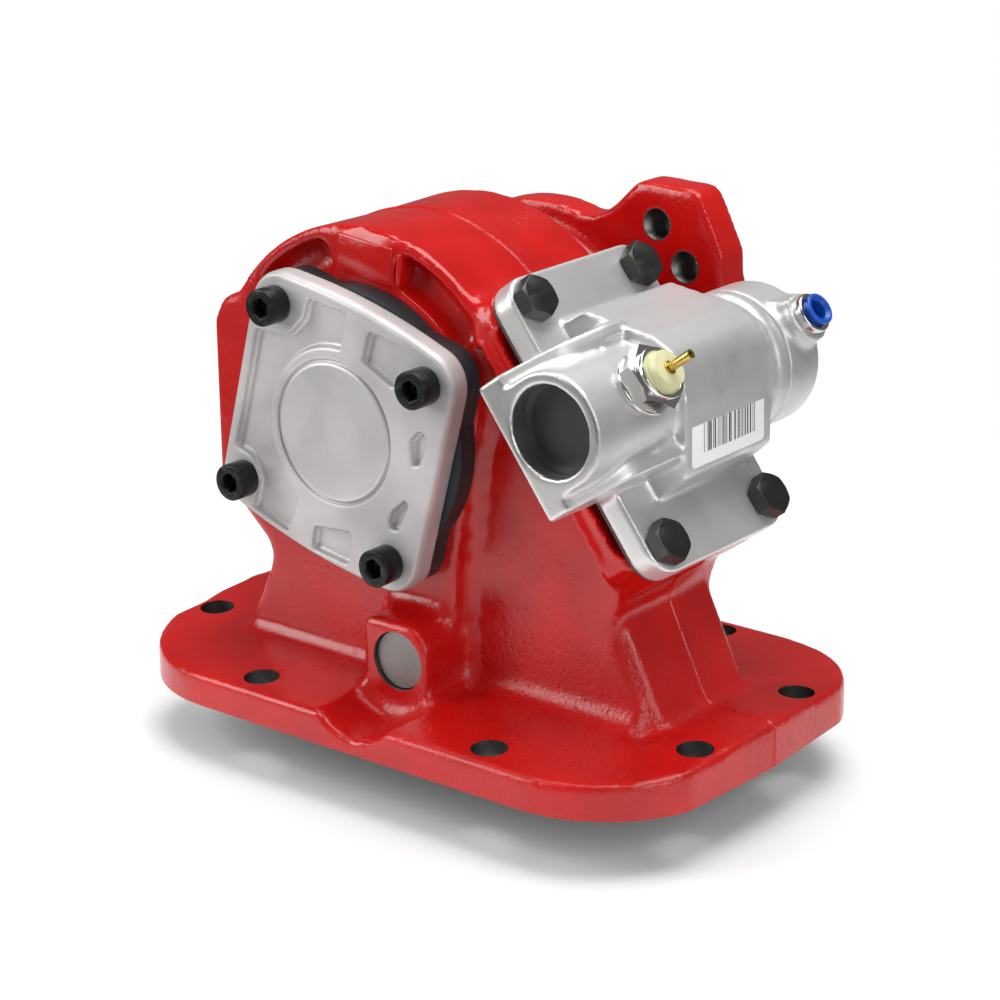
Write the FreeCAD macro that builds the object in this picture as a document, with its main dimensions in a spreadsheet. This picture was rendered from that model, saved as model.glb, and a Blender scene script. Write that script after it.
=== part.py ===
import FreeCAD, Part
import math
import os
import re
import Sketcher

# Power take off unit: a cast gear housing that bolts to a gearbox opening, with an
# input gear that reaches out below its mounting flange, a sliding output gear on a
# splined shaft, a bearing cap at the front, a pump flange at the rear, and an air
# shift cover on the inclined pad at the right.
# X to the right, Y to the rear, Z up, in millimetres. The origin is the centre of
# the mounting flange's machined underside, and Y = 0 is the casting's parting plane.

SIZES = {
    # Mounting flange
    "flange_length": 222.8,
    "flange_width": 146.2,
    "flange_corner": 45,
    "flange_thick": 15,
    "flange_draft": 3.1,
    "flange_hole": 11.9,
    "end_hole_edge": 10.5,
    "end_hole_y": 28.5,
    "side_hole_x": 47.8,
    "side_hole_edge": 10.3,
    # Gears and their axes
    "gear_module": 4,
    "input_teeth": 20,
    "output_teeth": 18,
    "pressure_angle": 20,
    "tooth_thinning": 0.2,
    "tip_clearance": 1,
    "idler_height": 24.5,
    "line_angle": 19.5,
    "input_face": 15,
    "input_front": -12,
    "output_face": 14,
    "output_front": -11.5,
    "slide_travel": 17,
    "chamber_front": -20,
    "chamber_rear": 25,
    "chamber_gap": 7,
    # Casting walls
    "pedestal_front": 34.5,
    "pedestal_waist": 70,
    "waist_low": 38.5,
    "waist_high": 44.5,
    "foot_flare": 17,
    "left_pad_x": 92,
    "left_pad_low": 65,
    "left_pad_high": 120,
    "barrel_radius": 63.5,
    "barrel_rear": 32,
    "wall_front": 27.3,
    "casting_draft": 2,
    "buttress_foot": 86.5,
    "buttress_top_x": 70.5,
    "buttress_top_z": 47,
    "buttress_half": 27.9,
    "buttress_chamfer": 6,
    "foot_fillet": 7,
    "boss_front": 50,
    "boss_left": 14.8,
    "boss_right": 11.8,
    "boss_top": 37,
    "boss_corner": 9,
    "trough_radius": 19.5,
    "gutter_outer": 60,
    "gutter_inner": 48,
    "gutter_depth": 8,
    "lug_foot": 47,
    "lug_top": 60,
    # Idler
    "idler_radius": 9.5,
    "idler_recess": 1.6,
    "idler_rear": 22,
    "idler_boss_radius": 17,
    "roller_radius": 2,
    "roller_count": 14,
    "washer_thick": 1.2,
    # Output shaft and its bearings
    "shaft_radius": 15,
    "spline_outer": 19,
    "spline_inner": 16.5,
    "spline_width": 5.2,
    "spline_count": 10,
    "hub_radius": 29,
    "hub_length": 8,
    "groove_radius": 24,
    "groove_width": 5,
    "hub_lip": 1.5,
    "bearing_radius": 31,
    "bearing_width": 16,
    "cone_race": 19,
    "cup_race": 26,
    "cup_angle": 15,
    "taper_rollers": 14,
    "taper_length": 11,
    "front_bearing_y": -37,
    "rear_bearing_y": 38,
    "seal_width": 7,
    "pump_bore_outer": 11.2,
    "pump_bore_inner": 9.9,
    "pump_bore_teeth": 13,
    "pump_bore_depth": 34,
    # Pump flange
    "pump_front": 58,
    "pump_face": 72,
    "pump_neck": 46,
    "pump_disc": 56,
    "pilot_radius": 50.8,
    "pilot_depth": 10,
    "pump_hole_circle": 146,
    "pump_hole": 11,
    "pump_hole_first": 34.5,
    "pump_hole_second": 48,
    # Bearing cap
    "cap_pitch": 63.5,
    "cap_turn": 15,
    "cap_half_width": 42.5,
    "cap_half_height": 41,
    "cap_bow": 5,
    "cap_corner": 12,
    "cap_thick": 8,
    "cap_screw": 8,
    "cap_head": 12.2,
    "cap_head_height": 8,
    "cap_socket": 6,
    "cap_screw_length": 25,
    "shim_thick": 7,
    "shim_radius": 46,
    "disc_radius": 22.8,
    "disc_groove": 1.2,
    "land_radius": 27,
    "cap_rim": 3.8,
    "recess_depth": 1.6,
    # Shift cover, in the frame of its inclined pad
    "pad_slope": 53.6,
    "pad_x": 54.8,
    "pad_z": 104.6,
    "pad_half_length": 51,
    "pad_half_width": 35,
    "pad_corner": 9,
    "pad_depth": 13,
    "window_upper": 32,
    "window_lower": 22,
    "window_rear": 21,
    "gasket_thick": 0.6,
    "cover_thick": 8.5,
    "cover_bolt_x": 42.1,
    "cover_bolt_y": 27.4,
    "cover_bolt": 8,
    "cover_bolt_head": 12.7,
    "cover_head_height": 5.6,
    "cover_bolt_length": 20,
    "tube_offset": 1.2,
    "tube_height": 17.5,
    "tube_radius": 18.3,
    "tube_front": 58.6,
    "tube_bore": 14.3,
    "plug_recess": 8,
    "plug_thick": 2,
    "guide_front": 47.8,
    "cavity_front": 22.5,
    "cavity_rear": 9,
    "cavity_half": 13.5,
    "cavity_gap": 1.5,
    "arm_slot_front": 19.3,
    "arm_slot_rear": 5.5,
    "arm_slot_side": 19.7,
    "fin_thick": 4.5,
    "fin_upper_top": 29,
    "fin_lower_top": 27,
    "dome_front": 19,
    "dome_rear": 28,
    "rod_radius": 7,
    "rod_front": 47,
    "fork_hub_radius": 11.5,
    "fork_hub_length": 10,
    "fork_thick": 4.4,
    "fork_outer": 36,
    "fork_first": -33,
    "fork_last": 115,
    "fork_pin": 4,
    "cylinder_front": 12.5,
    "cylinder_bore": 15.5,
    "cylinder_seam": 35.6,
    "cylinder_outer": 23.3,
    "cylinder_rear": 53.5,
    "cylinder_end_wall": 3.5,
    "piston_thick": 8,
    "piston_stub": 4.5,
    "piston_stub_radius": 9,
    "piston_gap": 0.15,
    "spring_radius": 10.5,
    "spring_wire": 1.6,
    "spring_turns": 3,
    "spring_seat": 3,
    # Air fitting and switch, over the tube
    "fitting_y": 46.5,
    "fitting_boss": 8.2,
    "fitting_radius": 6.6,
    "fitting_height": 31.5,
    "fitting_port": 2,
    "web_half": 6.8,
    "web_foot": 20.8,
    "web_top": 6.8,
    "collet_radius": 4.3,
    "tube_hole": 3.2,
    "collet_travel": 1.5,
    "switch_y": 32,
    "switch_hex": 19,
    "switch_seat": 17.5,
    "switch_tip": 9,
    "switch_washer": 1.5,
    "switch_hex_height": 6,
    "switch_collar": 2,
    "switch_thread": 5.5,
    "insulator_radius": 6.9,
    "insulator_length": 6.5,
    "insulator_seat": 3.5,
    "pin_radius": 1.5,
    "pin_root_radius": 2.2,
    "pin_root_length": 5.2,
    "pin_length": 8.8,
    "switch_ball": 2.5,
    # Running fits
    "shaft_gap": 0.03,
    "slide_gap": 0.1,
    "seat_gap": 0.02,
    "free_gap": 0.4,
}

doc = FreeCAD.newDocument("PowerTakeOff")
sheet = doc.addObject("Spreadsheet::Sheet", "Sizes")
for row, (alias, number) in enumerate(SIZES.items(), start=1):
    sheet.set("A%d" % row, alias)
    sheet.set("B%d" % row, str(number))
    sheet.setAlias("B%d" % row, alias)
doc.recompute()

# Places worked out from the sizes, as expressions on the sheet's cells
CENTRE_DISTANCE = "((input_teeth + output_teeth) * gear_module / 2)"
OUTPUT_X = "(-%s * sin(line_angle))" % CENTRE_DISTANCE
OUTPUT_Z = "(idler_height + %s * cos(line_angle))" % CENTRE_DISTANCE
INPUT_TIP = "(gear_module * (input_teeth / 2 + 1))"
OUTPUT_TIP = "(gear_module * (output_teeth / 2 + 1))"
CAP_BACK = "(pedestal_front + shim_thick)"
CAP_FRONT = "(pedestal_front + shim_thick + cap_thick)"
GROOVE_FRONT = "(output_front - hub_length + hub_lip)"
FORK_MIDDLE = "(output_front - hub_length + hub_lip + groove_width / 2)"
PISTON_FRONT = "(cylinder_rear - cylinder_end_wall - 1 - piston_stub - piston_thick - slide_travel)"
PILOT_FLOOR = "(pump_face - pilot_depth)"


def bind(text):
    """The expression with every size's name pointed at the sheet."""
    return re.sub(r"[a-z_]+[a-z_0-9]*",
                  lambda word: "Sizes." + word[0] if word[0] in SIZES else word[0], str(text))


def size(text):
    """The number that an expression on the sheet's cells gives."""
    return float(sheet.evalExpression(bind(text)))


def body(label):
    return doc.addObject("PartDesign::Body", label)


def origin(owner, role):
    return [item for item in owner.Origin.OriginFeatures if item.Role == role][0]


def sketch(owner, plane="XZ_Plane", forward="0", turn=None):
    """A sketch on an origin plane of its body, moved along the plane's own normal."""
    made = owner.newObject("Sketcher::SketchObject", owner.Name + "Sketch")
    made.AttachmentSupport = [(origin(owner, plane), "")]
    made.MapMode = "FlatFace"
    if turn:
        axis, angle = turn
        made.AttachmentOffset = FreeCAD.Placement(FreeCAD.Vector(),
                                                  FreeCAD.Rotation(axis, size(angle)))
        made.setExpression(".AttachmentOffset.Rotation.Angle", bind(angle))
    made.setExpression(".AttachmentOffset.Base.z", bind(forward))
    return made


def pad_plane(owner, height="0"):
    """A sketch on the housing's inclined pad: x down the slope, y to the rear."""
    made = sketch(owner, "XY_Plane", turn=(FreeCAD.Vector(0, 1, 0), "pad_slope"))
    made.setExpression(".AttachmentOffset.Base.x",
                       bind("pad_x + (%s) * sin(pad_slope)" % height))
    made.setExpression(".AttachmentOffset.Base.z",
                       bind("pad_z + (%s) * cos(pad_slope)" % height))
    return made


def place_point(target, geometry, end, x, y):
    """Fix one point of the sketch at a place that follows the sheet."""
    for kind, text in (("DistanceX", x), ("DistanceY", y)):
        made = target.addConstraint(
            Sketcher.Constraint(kind, -1, 1, geometry, end, size(text)))
        target.setExpression("Constraints[%d]" % made, bind(text))


def outline(target, corners):
    """A closed outline of straight sides; a third value rounds that corner."""
    points = [FreeCAD.Vector(size(item[0]), size(item[1])) for item in corners]
    radii = [size(item[2]) if len(item) > 2 else 0 for item in corners]
    count = len(corners)
    leaves, enters = [], []
    for index, point in enumerate(points):
        to_last = (points[index - 1] - point).normalize()
        to_next = (points[(index + 1) % count] - point).normalize()
        reach = radii[index] / math.tan(to_last.getAngle(to_next) / 2)
        enters.append(point + to_last * reach)
        leaves.append(point + to_next * reach)
    sides = [target.addGeometry(Part.LineSegment(leaves[index], enters[(index + 1) % count]))
             for index in range(count)]
    for index, item in enumerate(corners):
        before, after = sides[index - 1], sides[index]
        if len(item) < 3:
            target.addConstraint(Sketcher.Constraint("Coincident", before, 2, after, 1))
            place_point(target, after, 1, item[0], item[1])
            continue
        corner = target.addGeometry(Part.Point(points[index]), True)
        place_point(target, corner, 1, item[0], item[1])
        target.addConstraint(Sketcher.Constraint("PointOnObject", corner, 1, before))
        target.addConstraint(Sketcher.Constraint("PointOnObject", corner, 1, after))
        bend(target, before, after, enters[index], leaves[index], points[index], item[2])


def bend(target, before, after, start, end, corner, radius):
    """The arc that rounds one corner of an outline, tangent to both sides."""
    number = size(radius)
    inward = ((start + end) * 0.5 - corner).normalize()
    centre = corner + inward * math.hypot(number, (start - corner).Length)
    left_turn = (corner - start).cross(end - corner).z > 0
    first, last = (start, end) if left_turn else (end, start)
    angles = [math.atan2(point.y - centre.y, point.x - centre.x) for point in (first, last)]
    ring = Part.Circle(centre, FreeCAD.Vector(0, 0, 1), number)
    arc = target.addGeometry(Part.ArcOfCircle(ring, angles[0], angles[1]))
    entry = 1 if left_turn else 2
    target.addConstraint(Sketcher.Constraint("Tangent", before, 2, arc, entry))
    target.addConstraint(Sketcher.Constraint("Tangent", arc, 3 - entry, after, 1))
    made = target.addConstraint(Sketcher.Constraint("Radius", arc, number))
    target.setExpression("Constraints[%d]" % made, bind(radius))


def circle(target, x, y, radius):
    shape = Part.Circle(FreeCAD.Vector(size(x), size(y)), FreeCAD.Vector(0, 0, 1), size(radius))
    made = target.addGeometry(shape)
    place_point(target, made, 3, x, y)
    made = target.addConstraint(Sketcher.Constraint("Radius", made, size(radius)))
    target.setExpression("Constraints[%d]" % made, bind(radius))


def rectangle(x, y, corner=None):
    """The corners of a rectangle centred on the sketch's origin."""
    signs = ((-1, -1), (1, -1), (1, 1), (-1, 1))
    ends = [("%d * (%s)" % (a, x), "%d * (%s)" % (b, y)) for a, b in signs]
    return [end + (corner,) for end in ends] if corner else ends


def pad(owner, profile, length, back=None, draft=None, reverse=False):
    made = owner.newObject("PartDesign::Pad", owner.Name + "Pad")
    made.Profile = profile
    made.setExpression("Length", bind(length))
    made.Reversed = reverse
    if draft:
        made.setExpression("TaperAngle", bind("-(%s)" % draft))
    if back:
        made.SideType = "Two sides"
        made.setExpression("Length2", bind(back))
    if back and draft:
        made.setExpression("TaperAngle2", bind("-(%s)" % draft))
    return made


def pocket(owner, profile, length, back=None, reverse=False):
    made = owner.newObject("PartDesign::Pocket", owner.Name + "Pocket")
    made.Profile = profile
    made.setExpression("Length", bind(length))
    made.Reversed = reverse
    if back:
        made.SideType = "Two sides"
        made.setExpression("Length2", bind(back))
    return made


def turned(owner, profile, groove=False):
    """A full turn of the profile about the sketch's own vertical axis."""
    kind = "PartDesign::Groove" if groove else "PartDesign::Revolution"
    made = owner.newObject(kind, owner.Name + "Turn")
    made.Profile = profile
    made.ReferenceAxis = (profile, ["V_Axis"])
    made.Angle = 360
    return made


def lathed(label, corners):
    """A turned piece about its own Y axis, from pairs of Y and radius."""
    made = body(label)
    profile = sketch(made, "YZ_Plane")
    outline(profile, corners)
    spin = made.newObject("PartDesign::Revolution", label + "Turn")
    spin.Profile = profile
    spin.ReferenceAxis = (origin(made, "Y_Axis"), [""])
    spin.Angle = 360
    return made


def repeat(owner, feature, count, axis="Y_Axis"):
    """The feature repeated evenly round an axis of its body."""
    made = owner.newObject("PartDesign::PolarPattern", owner.Name + "Pattern")
    made.Originals = [feature]
    made.Axis = (origin(owner, axis), [""])
    made.Angle = 360
    made.setExpression("Occurrences", bind(count))
    owner.Tip = made
    return made


def move(made, x="0", y="0", z="0", rotation=None):
    """Place an object by expressions, with an optional fixed rotation."""
    if rotation:
        made.Placement = FreeCAD.Placement(FreeCAD.Vector(), rotation)
    for letter, text in zip("xyz", (x, y, z)):
        made.setExpression(".Placement.Base." + letter, bind(text))
    return made


ALONG_Y = FreeCAD.Rotation(FreeCAD.Vector(1, 0, 0), -90)


def cylinder(radius, length, x, y, z, rotation=ALONG_Y):
    made = doc.addObject("Part::Cylinder", "Cylinder")
    made.setExpression("Radius", bind(radius))
    made.setExpression("Height", bind(length))
    return move(made, x, y, z, rotation)


def prism(across, length, x, y, z, rotation=ALONG_Y):
    """A hexagonal bar of that size across its flats."""
    made = doc.addObject("Part::Prism", "Prism")
    made.Polygon = 6
    made.setExpression("Circumradius", bind("(%s) / 2 / cos(30)" % across))
    made.setExpression("Height", bind(length))
    return move(made, x, y, z, rotation)


def cut(base, tool):
    made = doc.addObject("Part::Cut", "Cut")
    made.Base = base
    made.Tool = tool
    return made


def fuse(*shapes):
    made = doc.addObject("Part::MultiFuse", "Fuse")
    made.Shapes = list(shapes)
    return made


def group(*shapes):
    """Separate solids that share one node."""
    made = doc.addObject("Part::Compound", "Group")
    made.Links = list(shapes)
    return made


def named(made, label):
    made.Label = label
    return made


def polar(radius, angle):
    """A point round the output axis, as two expressions in the XZ plane."""
    return ("%s + (%s) * cos(%s)" % (OUTPUT_X, radius, angle),
            "%s + (%s) * sin(%s)" % (OUTPUT_Z, radius, angle))


def slab(owner, corners, front, rear, draft=None):
    """A stretch of the casting drawn on the parting plane and padded both ways."""
    profile = sketch(owner)
    outline(profile, corners)
    return pad(owner, profile, front, rear, draft)


def disc(owner, radius, front, length, x=OUTPUT_X, z=OUTPUT_Z, hollow=False, draft=None):
    """A round boss, or a bore, from Y = front towards the rear."""
    profile = sketch(owner, forward="-(%s)" % front)
    circle(profile, x, z, radius)
    if hollow:
        return pocket(owner, profile, length)
    return pad(owner, profile, length, reverse=True, draft=draft)


def flange_plate(owner):
    """The mounting flange, whose top and ends fall away from the parting plane."""
    profile = sketch(owner, "XY_Plane")
    outline(profile, rectangle("flange_length / 2", "flange_width / 2", "flange_corner"))
    pad(owner, profile, "flange_thick")
    edge = "(flange_width / 2 + 1)"
    for side in (-1, 1):
        profile = sketch(owner, "YZ_Plane")
        outline(profile, [("0", "flange_thick"), ("%d * %s" % (side, edge), "flange_thick"),
                          ("%d * %s" % (side, edge),
                           "flange_thick - %s * tan(flange_draft)" % edge)])
        pocket(owner, profile, "flange_length", "flange_length")
        for end in (-1, 1):
            profile = sketch(owner, "XY_Plane", "flange_thick")
            outline(profile, [("%d * flange_length / 2" % end, "0"),
                              ("%d * flange_length / 2" % end, "%d * %s" % (side, edge)),
                              ("%d * (flange_length / 2 - %s * tan(flange_draft))" % (end, edge),
                               "%d * %s" % (side, edge))])
            pocket(owner, profile, "flange_thick")
    profile = sketch(owner, "XY_Plane", "flange_thick")
    for x, y in (("(flange_length / 2 - end_hole_edge)", "end_hole_y"),
                 ("side_hole_x", "(flange_width / 2 - side_hole_edge)")):
        for a in (-1, 1):
            for b in (-1, 1):
                circle(profile, "%d * %s" % (a, x), "%d * %s" % (b, y), "flange_hole / 2")
    pocket(owner, profile, "flange_thick")


def casting_walls(owner):
    """The pedestal, the barrel over the output gear and the wall under the inclined pad."""
    slab(owner, [("-pedestal_waist - foot_flare", "1"), ("-pedestal_waist", "waist_low", "6"),
                 ("-pedestal_waist", "waist_high", "5"), ("-left_pad_x", "left_pad_low", "1.5"),
                 ("-left_pad_x", "left_pad_high", "3"),
                 ("-left_pad_x + 4", "left_pad_high + 8", "5"),
                 ("-left_pad_x + 11", "left_pad_high + 12", "4"),
                 ("-left_pad_x + 22", "left_pad_high + 2", "8"),
                 ("10", "left_pad_high + 2"), ("14", "1")],
         "pedestal_front", "pedestal_front", "casting_draft")
    profile = sketch(owner)
    circle(profile, OUTPUT_X, OUTPUT_Z, "barrel_radius")
    pad(owner, profile, "pedestal_front", "barrel_rear", "casting_draft / 2")
    slab(owner, [("-20", "1"), ("buttress_top_x - 4", "1"),
                 ("buttress_top_x - 1", "buttress_top_z - 2", "5"),
                 ("pad_x + 20", "pad_z - 44", "4"), ("pad_x - 22", "pad_z + 26"),
                 ("-20", "pad_z + 36")],
         "wall_front", "wall_front", "casting_draft")
    buttress(owner)
    profile = pad_plane(owner)
    outline(profile, rectangle("pad_half_length", "pad_half_width", "pad_corner"))
    pad(owner, profile, "pad_depth", reverse=True)


def buttress(owner):
    """The leaning foot at the right, chamfered along both edges of its sloping face."""
    edge = "(buttress_half - buttress_chamfer)"
    inset = "(%s * tan(casting_draft))" % edge

    def corners(back):
        return [("0", "1"), ("buttress_foot + 6 - " + back, "1"),
                ("buttress_top_x - " + back, "buttress_top_z", "6"),
                ("buttress_top_x - 22", "buttress_top_z + 12"), ("0", "buttress_top_z + 12")]

    slab(owner, corners("0"), edge, edge, "casting_draft")
    for side in (1, -1):
        profile = sketch(owner, forward="%d * %s" % (side, edge))
        outline(profile, corners(inset))
        pad(owner, profile, "buttress_chamfer", reverse=side < 0, draft="45")


def front_step(owner):
    """The plate's right edge in front of the wall, in corners round the output axis."""
    profile = sketch(owner, forward="pedestal_front")
    outline(profile, [polar(radius, angle) for radius, angle in (
        ("101", "-70"), ("55.6", "-47.7"), ("43.1", "-6.9"), ("46.9", "8.4"),
        ("50.9", "24.2"), ("50.6", "32.2"), ("49.3", "38"), ("68", "40"))] + [
            ("buttress_foot", "%s + 44" % OUTPUT_Z), ("buttress_foot", "1")])
    pocket(owner, profile, "pedestal_front - wall_front")


def wall_foot(owner):
    """The round fillet between the wall's front and the flange's top."""
    profile = sketch(owner, "YZ_Plane", "boss_right + 2")
    drop = "flange_thick - wall_front * tan(flange_draft)"
    outer = "-wall_front - foot_fillet - 1"
    outline(profile, [("2 - wall_front", drop + " - 3"), (outer, drop + " - 3"),
                      (outer, drop + " - 0.3"), ("-wall_front", drop, "foot_fillet"),
                      ("-wall_front", drop + " + foot_fillet + 1"),
                      ("2 - wall_front", drop + " + foot_fillet + 1")])
    pad(owner, profile, "buttress_foot - 9.5 - boss_right")


def idler_bosses(owner):
    """The square boss that carries the idler shaft at the front."""
    profile = sketch(owner, forward="pedestal_front - 4")
    outline(profile, [("-boss_left", "1"), ("boss_right", "1"),
                      ("boss_right", "boss_top", "boss_corner"), ("-boss_left", "boss_top", "3")])
    pad(owner, profile, "boss_front - pedestal_front + 4")


def pump_flange(owner):
    """The rear bearing's neck, and the flange with its two opposite ears."""
    disc(owner, "pump_neck", "barrel_rear - 6", "pump_face - barrel_rear + 6", draft="-2")
    disc(owner, "pump_disc", "pump_front", "pump_face - pump_front")
    for turn in ("0", "180"):
        profile = sketch(owner, forward="-pump_front")
        outline(profile, [polar(radius, "%s + %s" % (angle, turn)) + corner
                          for radius, angle, corner in (
                              ("20", "-38", ()), ("62", "7", ("6",)), ("82", "21.8", ("5",)),
                              ("88.4", "32.5", ("6",)), ("93.5", "46.2", ("7",)),
                              ("79", "59", ("6",)), ("59", "64", ("22",)), ("53", "92", ()),
                              ("20", "130", ()))])
        pad(owner, profile, "pump_face - pump_front", reverse=True)
    disc(owner, "pilot_radius", PILOT_FLOOR, "pump_face", hollow=True)


def barrel_gutter(owner):
    """The curved recess in the barrel's front rim, either side of the top lug."""
    for first, last in (("38", "77"), ("104", "138")):
        profile = sketch(owner, forward="pedestal_front")
        bounds = [size(first), size(last)]
        centre = FreeCAD.Vector(size(OUTPUT_X), size(OUTPUT_Z))
        spots = {}
        for radius in ("gutter_outer", "gutter_inner"):
            for angle in (bounds[0], sum(bounds) / 2, bounds[1]):
                way = FreeCAD.Vector(math.cos(math.radians(angle)), math.sin(math.radians(angle)))
                spots[radius, angle] = centre + way * size(radius)
        ends = []
        for radius in ("gutter_outer", "gutter_inner"):
            three = [spots[radius, angle] for angle in (bounds[0], sum(bounds) / 2, bounds[1])]
            profile.addGeometry(Part.Arc(*three))
            ends.append((three[0], three[2]))
        profile.addGeometry(Part.LineSegment(ends[0][0], ends[1][0]))
        profile.addGeometry(Part.LineSegment(ends[0][1], ends[1][1]))
        pocket(owner, profile, "gutter_depth")


def chambers(owner):
    """The space round both gears, open at the mounting face and at the inclined pad."""
    span = "chamber_rear - chamber_front"
    disc(owner, "%s + chamber_gap + 5" % OUTPUT_TIP, "chamber_front", span, hollow=True)
    disc(owner, "%s + 3" % INPUT_TIP, "chamber_front", span, "0", "idler_height", hollow=True)
    profile = sketch(owner, forward="-chamber_front")
    half = "(%s + 3)" % INPUT_TIP
    outline(profile, [("-" + half, "-flange_thick - 9"), (half, "-flange_thick - 9"),
                      (half, "idler_height"), ("-" + half, "idler_height")])
    pocket(owner, profile, span)
    profile = pad_plane(owner)
    outline(profile, [("-window_upper", "chamber_front"), ("window_lower", "chamber_front"),
                      ("window_lower", "window_rear"), ("-window_upper", "window_rear")])
    pocket(owner, profile, "62")


def idler_supports(owner):
    """The bosses inside the chamber that the idler shaft runs through."""
    for start, length in (("chamber_front - 4", "input_front - washer_thick - chamber_front + 4"),
                          ("input_front + input_face + washer_thick",
                           "chamber_rear + 4 - input_front - input_face - washer_thick")):
        disc(owner, "idler_boss_radius", start, length, "0", "idler_height")


def bores(owner):
    bearing_bore = "bearing_radius + seat_gap"
    disc(owner, bearing_bore, "-pedestal_front - 12", "pedestal_front + 12 + chamber_front + 1",
         hollow=True)
    disc(owner, bearing_bore, "rear_bearing_y", "pump_face - rear_bearing_y", hollow=True)
    disc(owner, "bearing_radius - 4", "chamber_rear - 1", "pump_face - chamber_rear", hollow=True)
    disc(owner, "idler_radius + seat_gap", "-boss_front - 1", "boss_front + 1 + idler_rear + 0.5",
         "0", "idler_height", hollow=True)
    disc(owner, "trough_radius", "-flange_width", "flange_width - boss_front",
         "0", "idler_height", hollow=True)


def cap_spots():
    """The bearing cap's four screws round the output axis: radius and angle."""
    return [("(cap_pitch * sqrt(0.5))", "(%d - cap_turn)" % angle) for angle in (45, 135, 225, 315)]


def tapped_holes(owner):
    """Holes for the bearing cap, the shift cover and a pump."""
    profile = sketch(owner, forward="pedestal_front")
    for radius, angle in cap_spots():
        circle(profile, *polar(radius, angle), "cap_screw / 2")
    pocket(owner, profile, "cap_screw_length - cap_thick - shim_thick + 3")
    profile = pad_plane(owner)
    for x, y in cover_spots():
        circle(profile, x, y, "cover_bolt / 2")
    pocket(owner, profile, "cover_bolt_length - cover_thick - gasket_thick + 1")
    profile = sketch(owner, forward="-pump_face")
    for angle in ("pump_hole_first", "pump_hole_second"):
        for turn in ("0", "180"):
            circle(profile, *polar("pump_hole_circle / 2", "%s + %s" % (angle, turn)),
                   "pump_hole / 2")
    pocket(owner, profile, "pump_face - pump_front + 1", reverse=True)


def top_lug(owner):
    """The lug and its side rib that stand on the barrel's front rim."""
    profile = sketch(owner, forward="pedestal_front - gutter_depth")
    foot, top = "%s + lug_foot" % OUTPUT_Z, "%s + lug_top" % OUTPUT_Z
    outline(profile, [("-33.5", foot), ("-11", foot), ("-11", top + " - 1", "2"),
                      ("-33.5", top + " + 1.5", "2")])
    pad(owner, profile, "gutter_depth + 1")


def housing():
    made = body("housing")
    flange_plate(made)
    casting_walls(made)
    front_step(made)
    wall_foot(made)
    idler_bosses(made)
    barrel_gutter(made)
    top_lug(made)
    pump_flange(made)
    chambers(made)
    idler_supports(made)
    bores(made)
    tapped_holes(made)
    return made


def cap_outline(target):
    """The bearing cap's outline: straight sides, bowed top and bottom, round corners."""
    wide, tall = "cap_half_width", "cap_half_height"
    outline(target, [("-%s" % wide, "-%s" % tall, "cap_corner"),
                     ("0", "-%s - cap_bow" % tall, "220"), (wide, "-%s" % tall, "cap_corner"),
                     (wide, tall, "cap_corner"), ("0", "%s + cap_bow" % tall, "220"),
                     ("-%s" % wide, tall, "cap_corner")])


def on_output_axis(made, turn="0"):
    made.Placement = FreeCAD.Placement(FreeCAD.Vector(),
                                       FreeCAD.Rotation(FreeCAD.Vector(0, 1, 0), size(turn)))
    return move(made, OUTPUT_X, "0", OUTPUT_Z)


def bearing_cap():
    made = body("bearing_cap")
    profile = sketch(made, forward=CAP_BACK)
    cap_outline(profile)
    pad(made, profile, "cap_thick - 2")
    profile = sketch(made, forward="%s - 2" % CAP_FRONT)
    cap_outline(profile)
    pad(made, profile, "2", draft="20")
    spigot = sketch(made, forward=CAP_BACK)
    circle(spigot, "0", "0", "bearing_radius - 1")
    pad(made, spigot, "%s + front_bearing_y" % CAP_BACK, reverse=True)
    relief = sketch(made, forward="-front_bearing_y")
    circle(relief, "0", "0", "bearing_radius - 4")
    pocket(made, relief, "%s + front_bearing_y + 1" % CAP_BACK, reverse=True)
    cap_face(made)
    return on_output_axis(made, "cap_turn")


def round_inside(radius, first, last, count):
    """Corners of an outline that follow a round land about the body's own axis."""
    step = (last - first) / count
    reach = "(%s) / cos(%f)" % (radius, step / 2)
    turns = [first + step * (index + 0.5) for index in range(count)]
    return [("%s * cos(%f)" % (reach, turn), "%s * sin(%f)" % (reach, turn), radius + " - 0.6")
            for turn in turns]


def cap_recesses():
    """The cast recesses of the cap's face: one long one round the left, and small ones."""
    edge, left = "cap_half_height", "(cap_half_width - cap_rim)"
    long_one = [("-3.6", edge, "1.5"), ("-19.8", edge + " - 2.2", "1.5"), ("-20.4", "31.3", "2"),
                ("-24.7", "23.7", "5"), ("-" + left, "19.8", "1.5"),
                ("-" + left, "-23.2", "1.5"), ("-30.5", "-23.5", "5"), ("-26.6", "-29.8", "3"),
                ("-26.8", "0.6 - " + edge, "1.5"), ("-10.8", "-1.2 - " + edge, "1.5"),
                ("-9.2", "-27.6")]
    long_one += round_inside("land_radius", 252, 98, 3)
    long_one += [("-3.6", "27.8")]
    return [
        long_one,
        [("5.8", "38.6", "1.5"), ("5.7", "27.8", "1.5"), ("20.2", "24.8", "1.5"),
         ("20", "39.6", "1.5")],
        [("29.9", "11.8", "1"), ("32.2", "15.8", "1"), ("35.2", "16.2", "1"),
         ("36.5", "12", "1"), ("35.4", "5.1", "1"), ("32.5", "3.6", "1")],
        [("28.1", "-18.1", "1"), ("28.5", "-14.8", "1"), ("32.6", "-8.5", "0.8"),
         ("34.4", "-9.6", "0.5"), ("32.3", "-20", "1"), ("28.8", "-20.8", "0.8")],
        [("-0.6", "-34.7", "1.5"), ("15", "-29.3", "1.5"), ("15.9", "-41", "1.5"),
         ("0.1", "-42.6", "1.5")],
    ]


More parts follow.
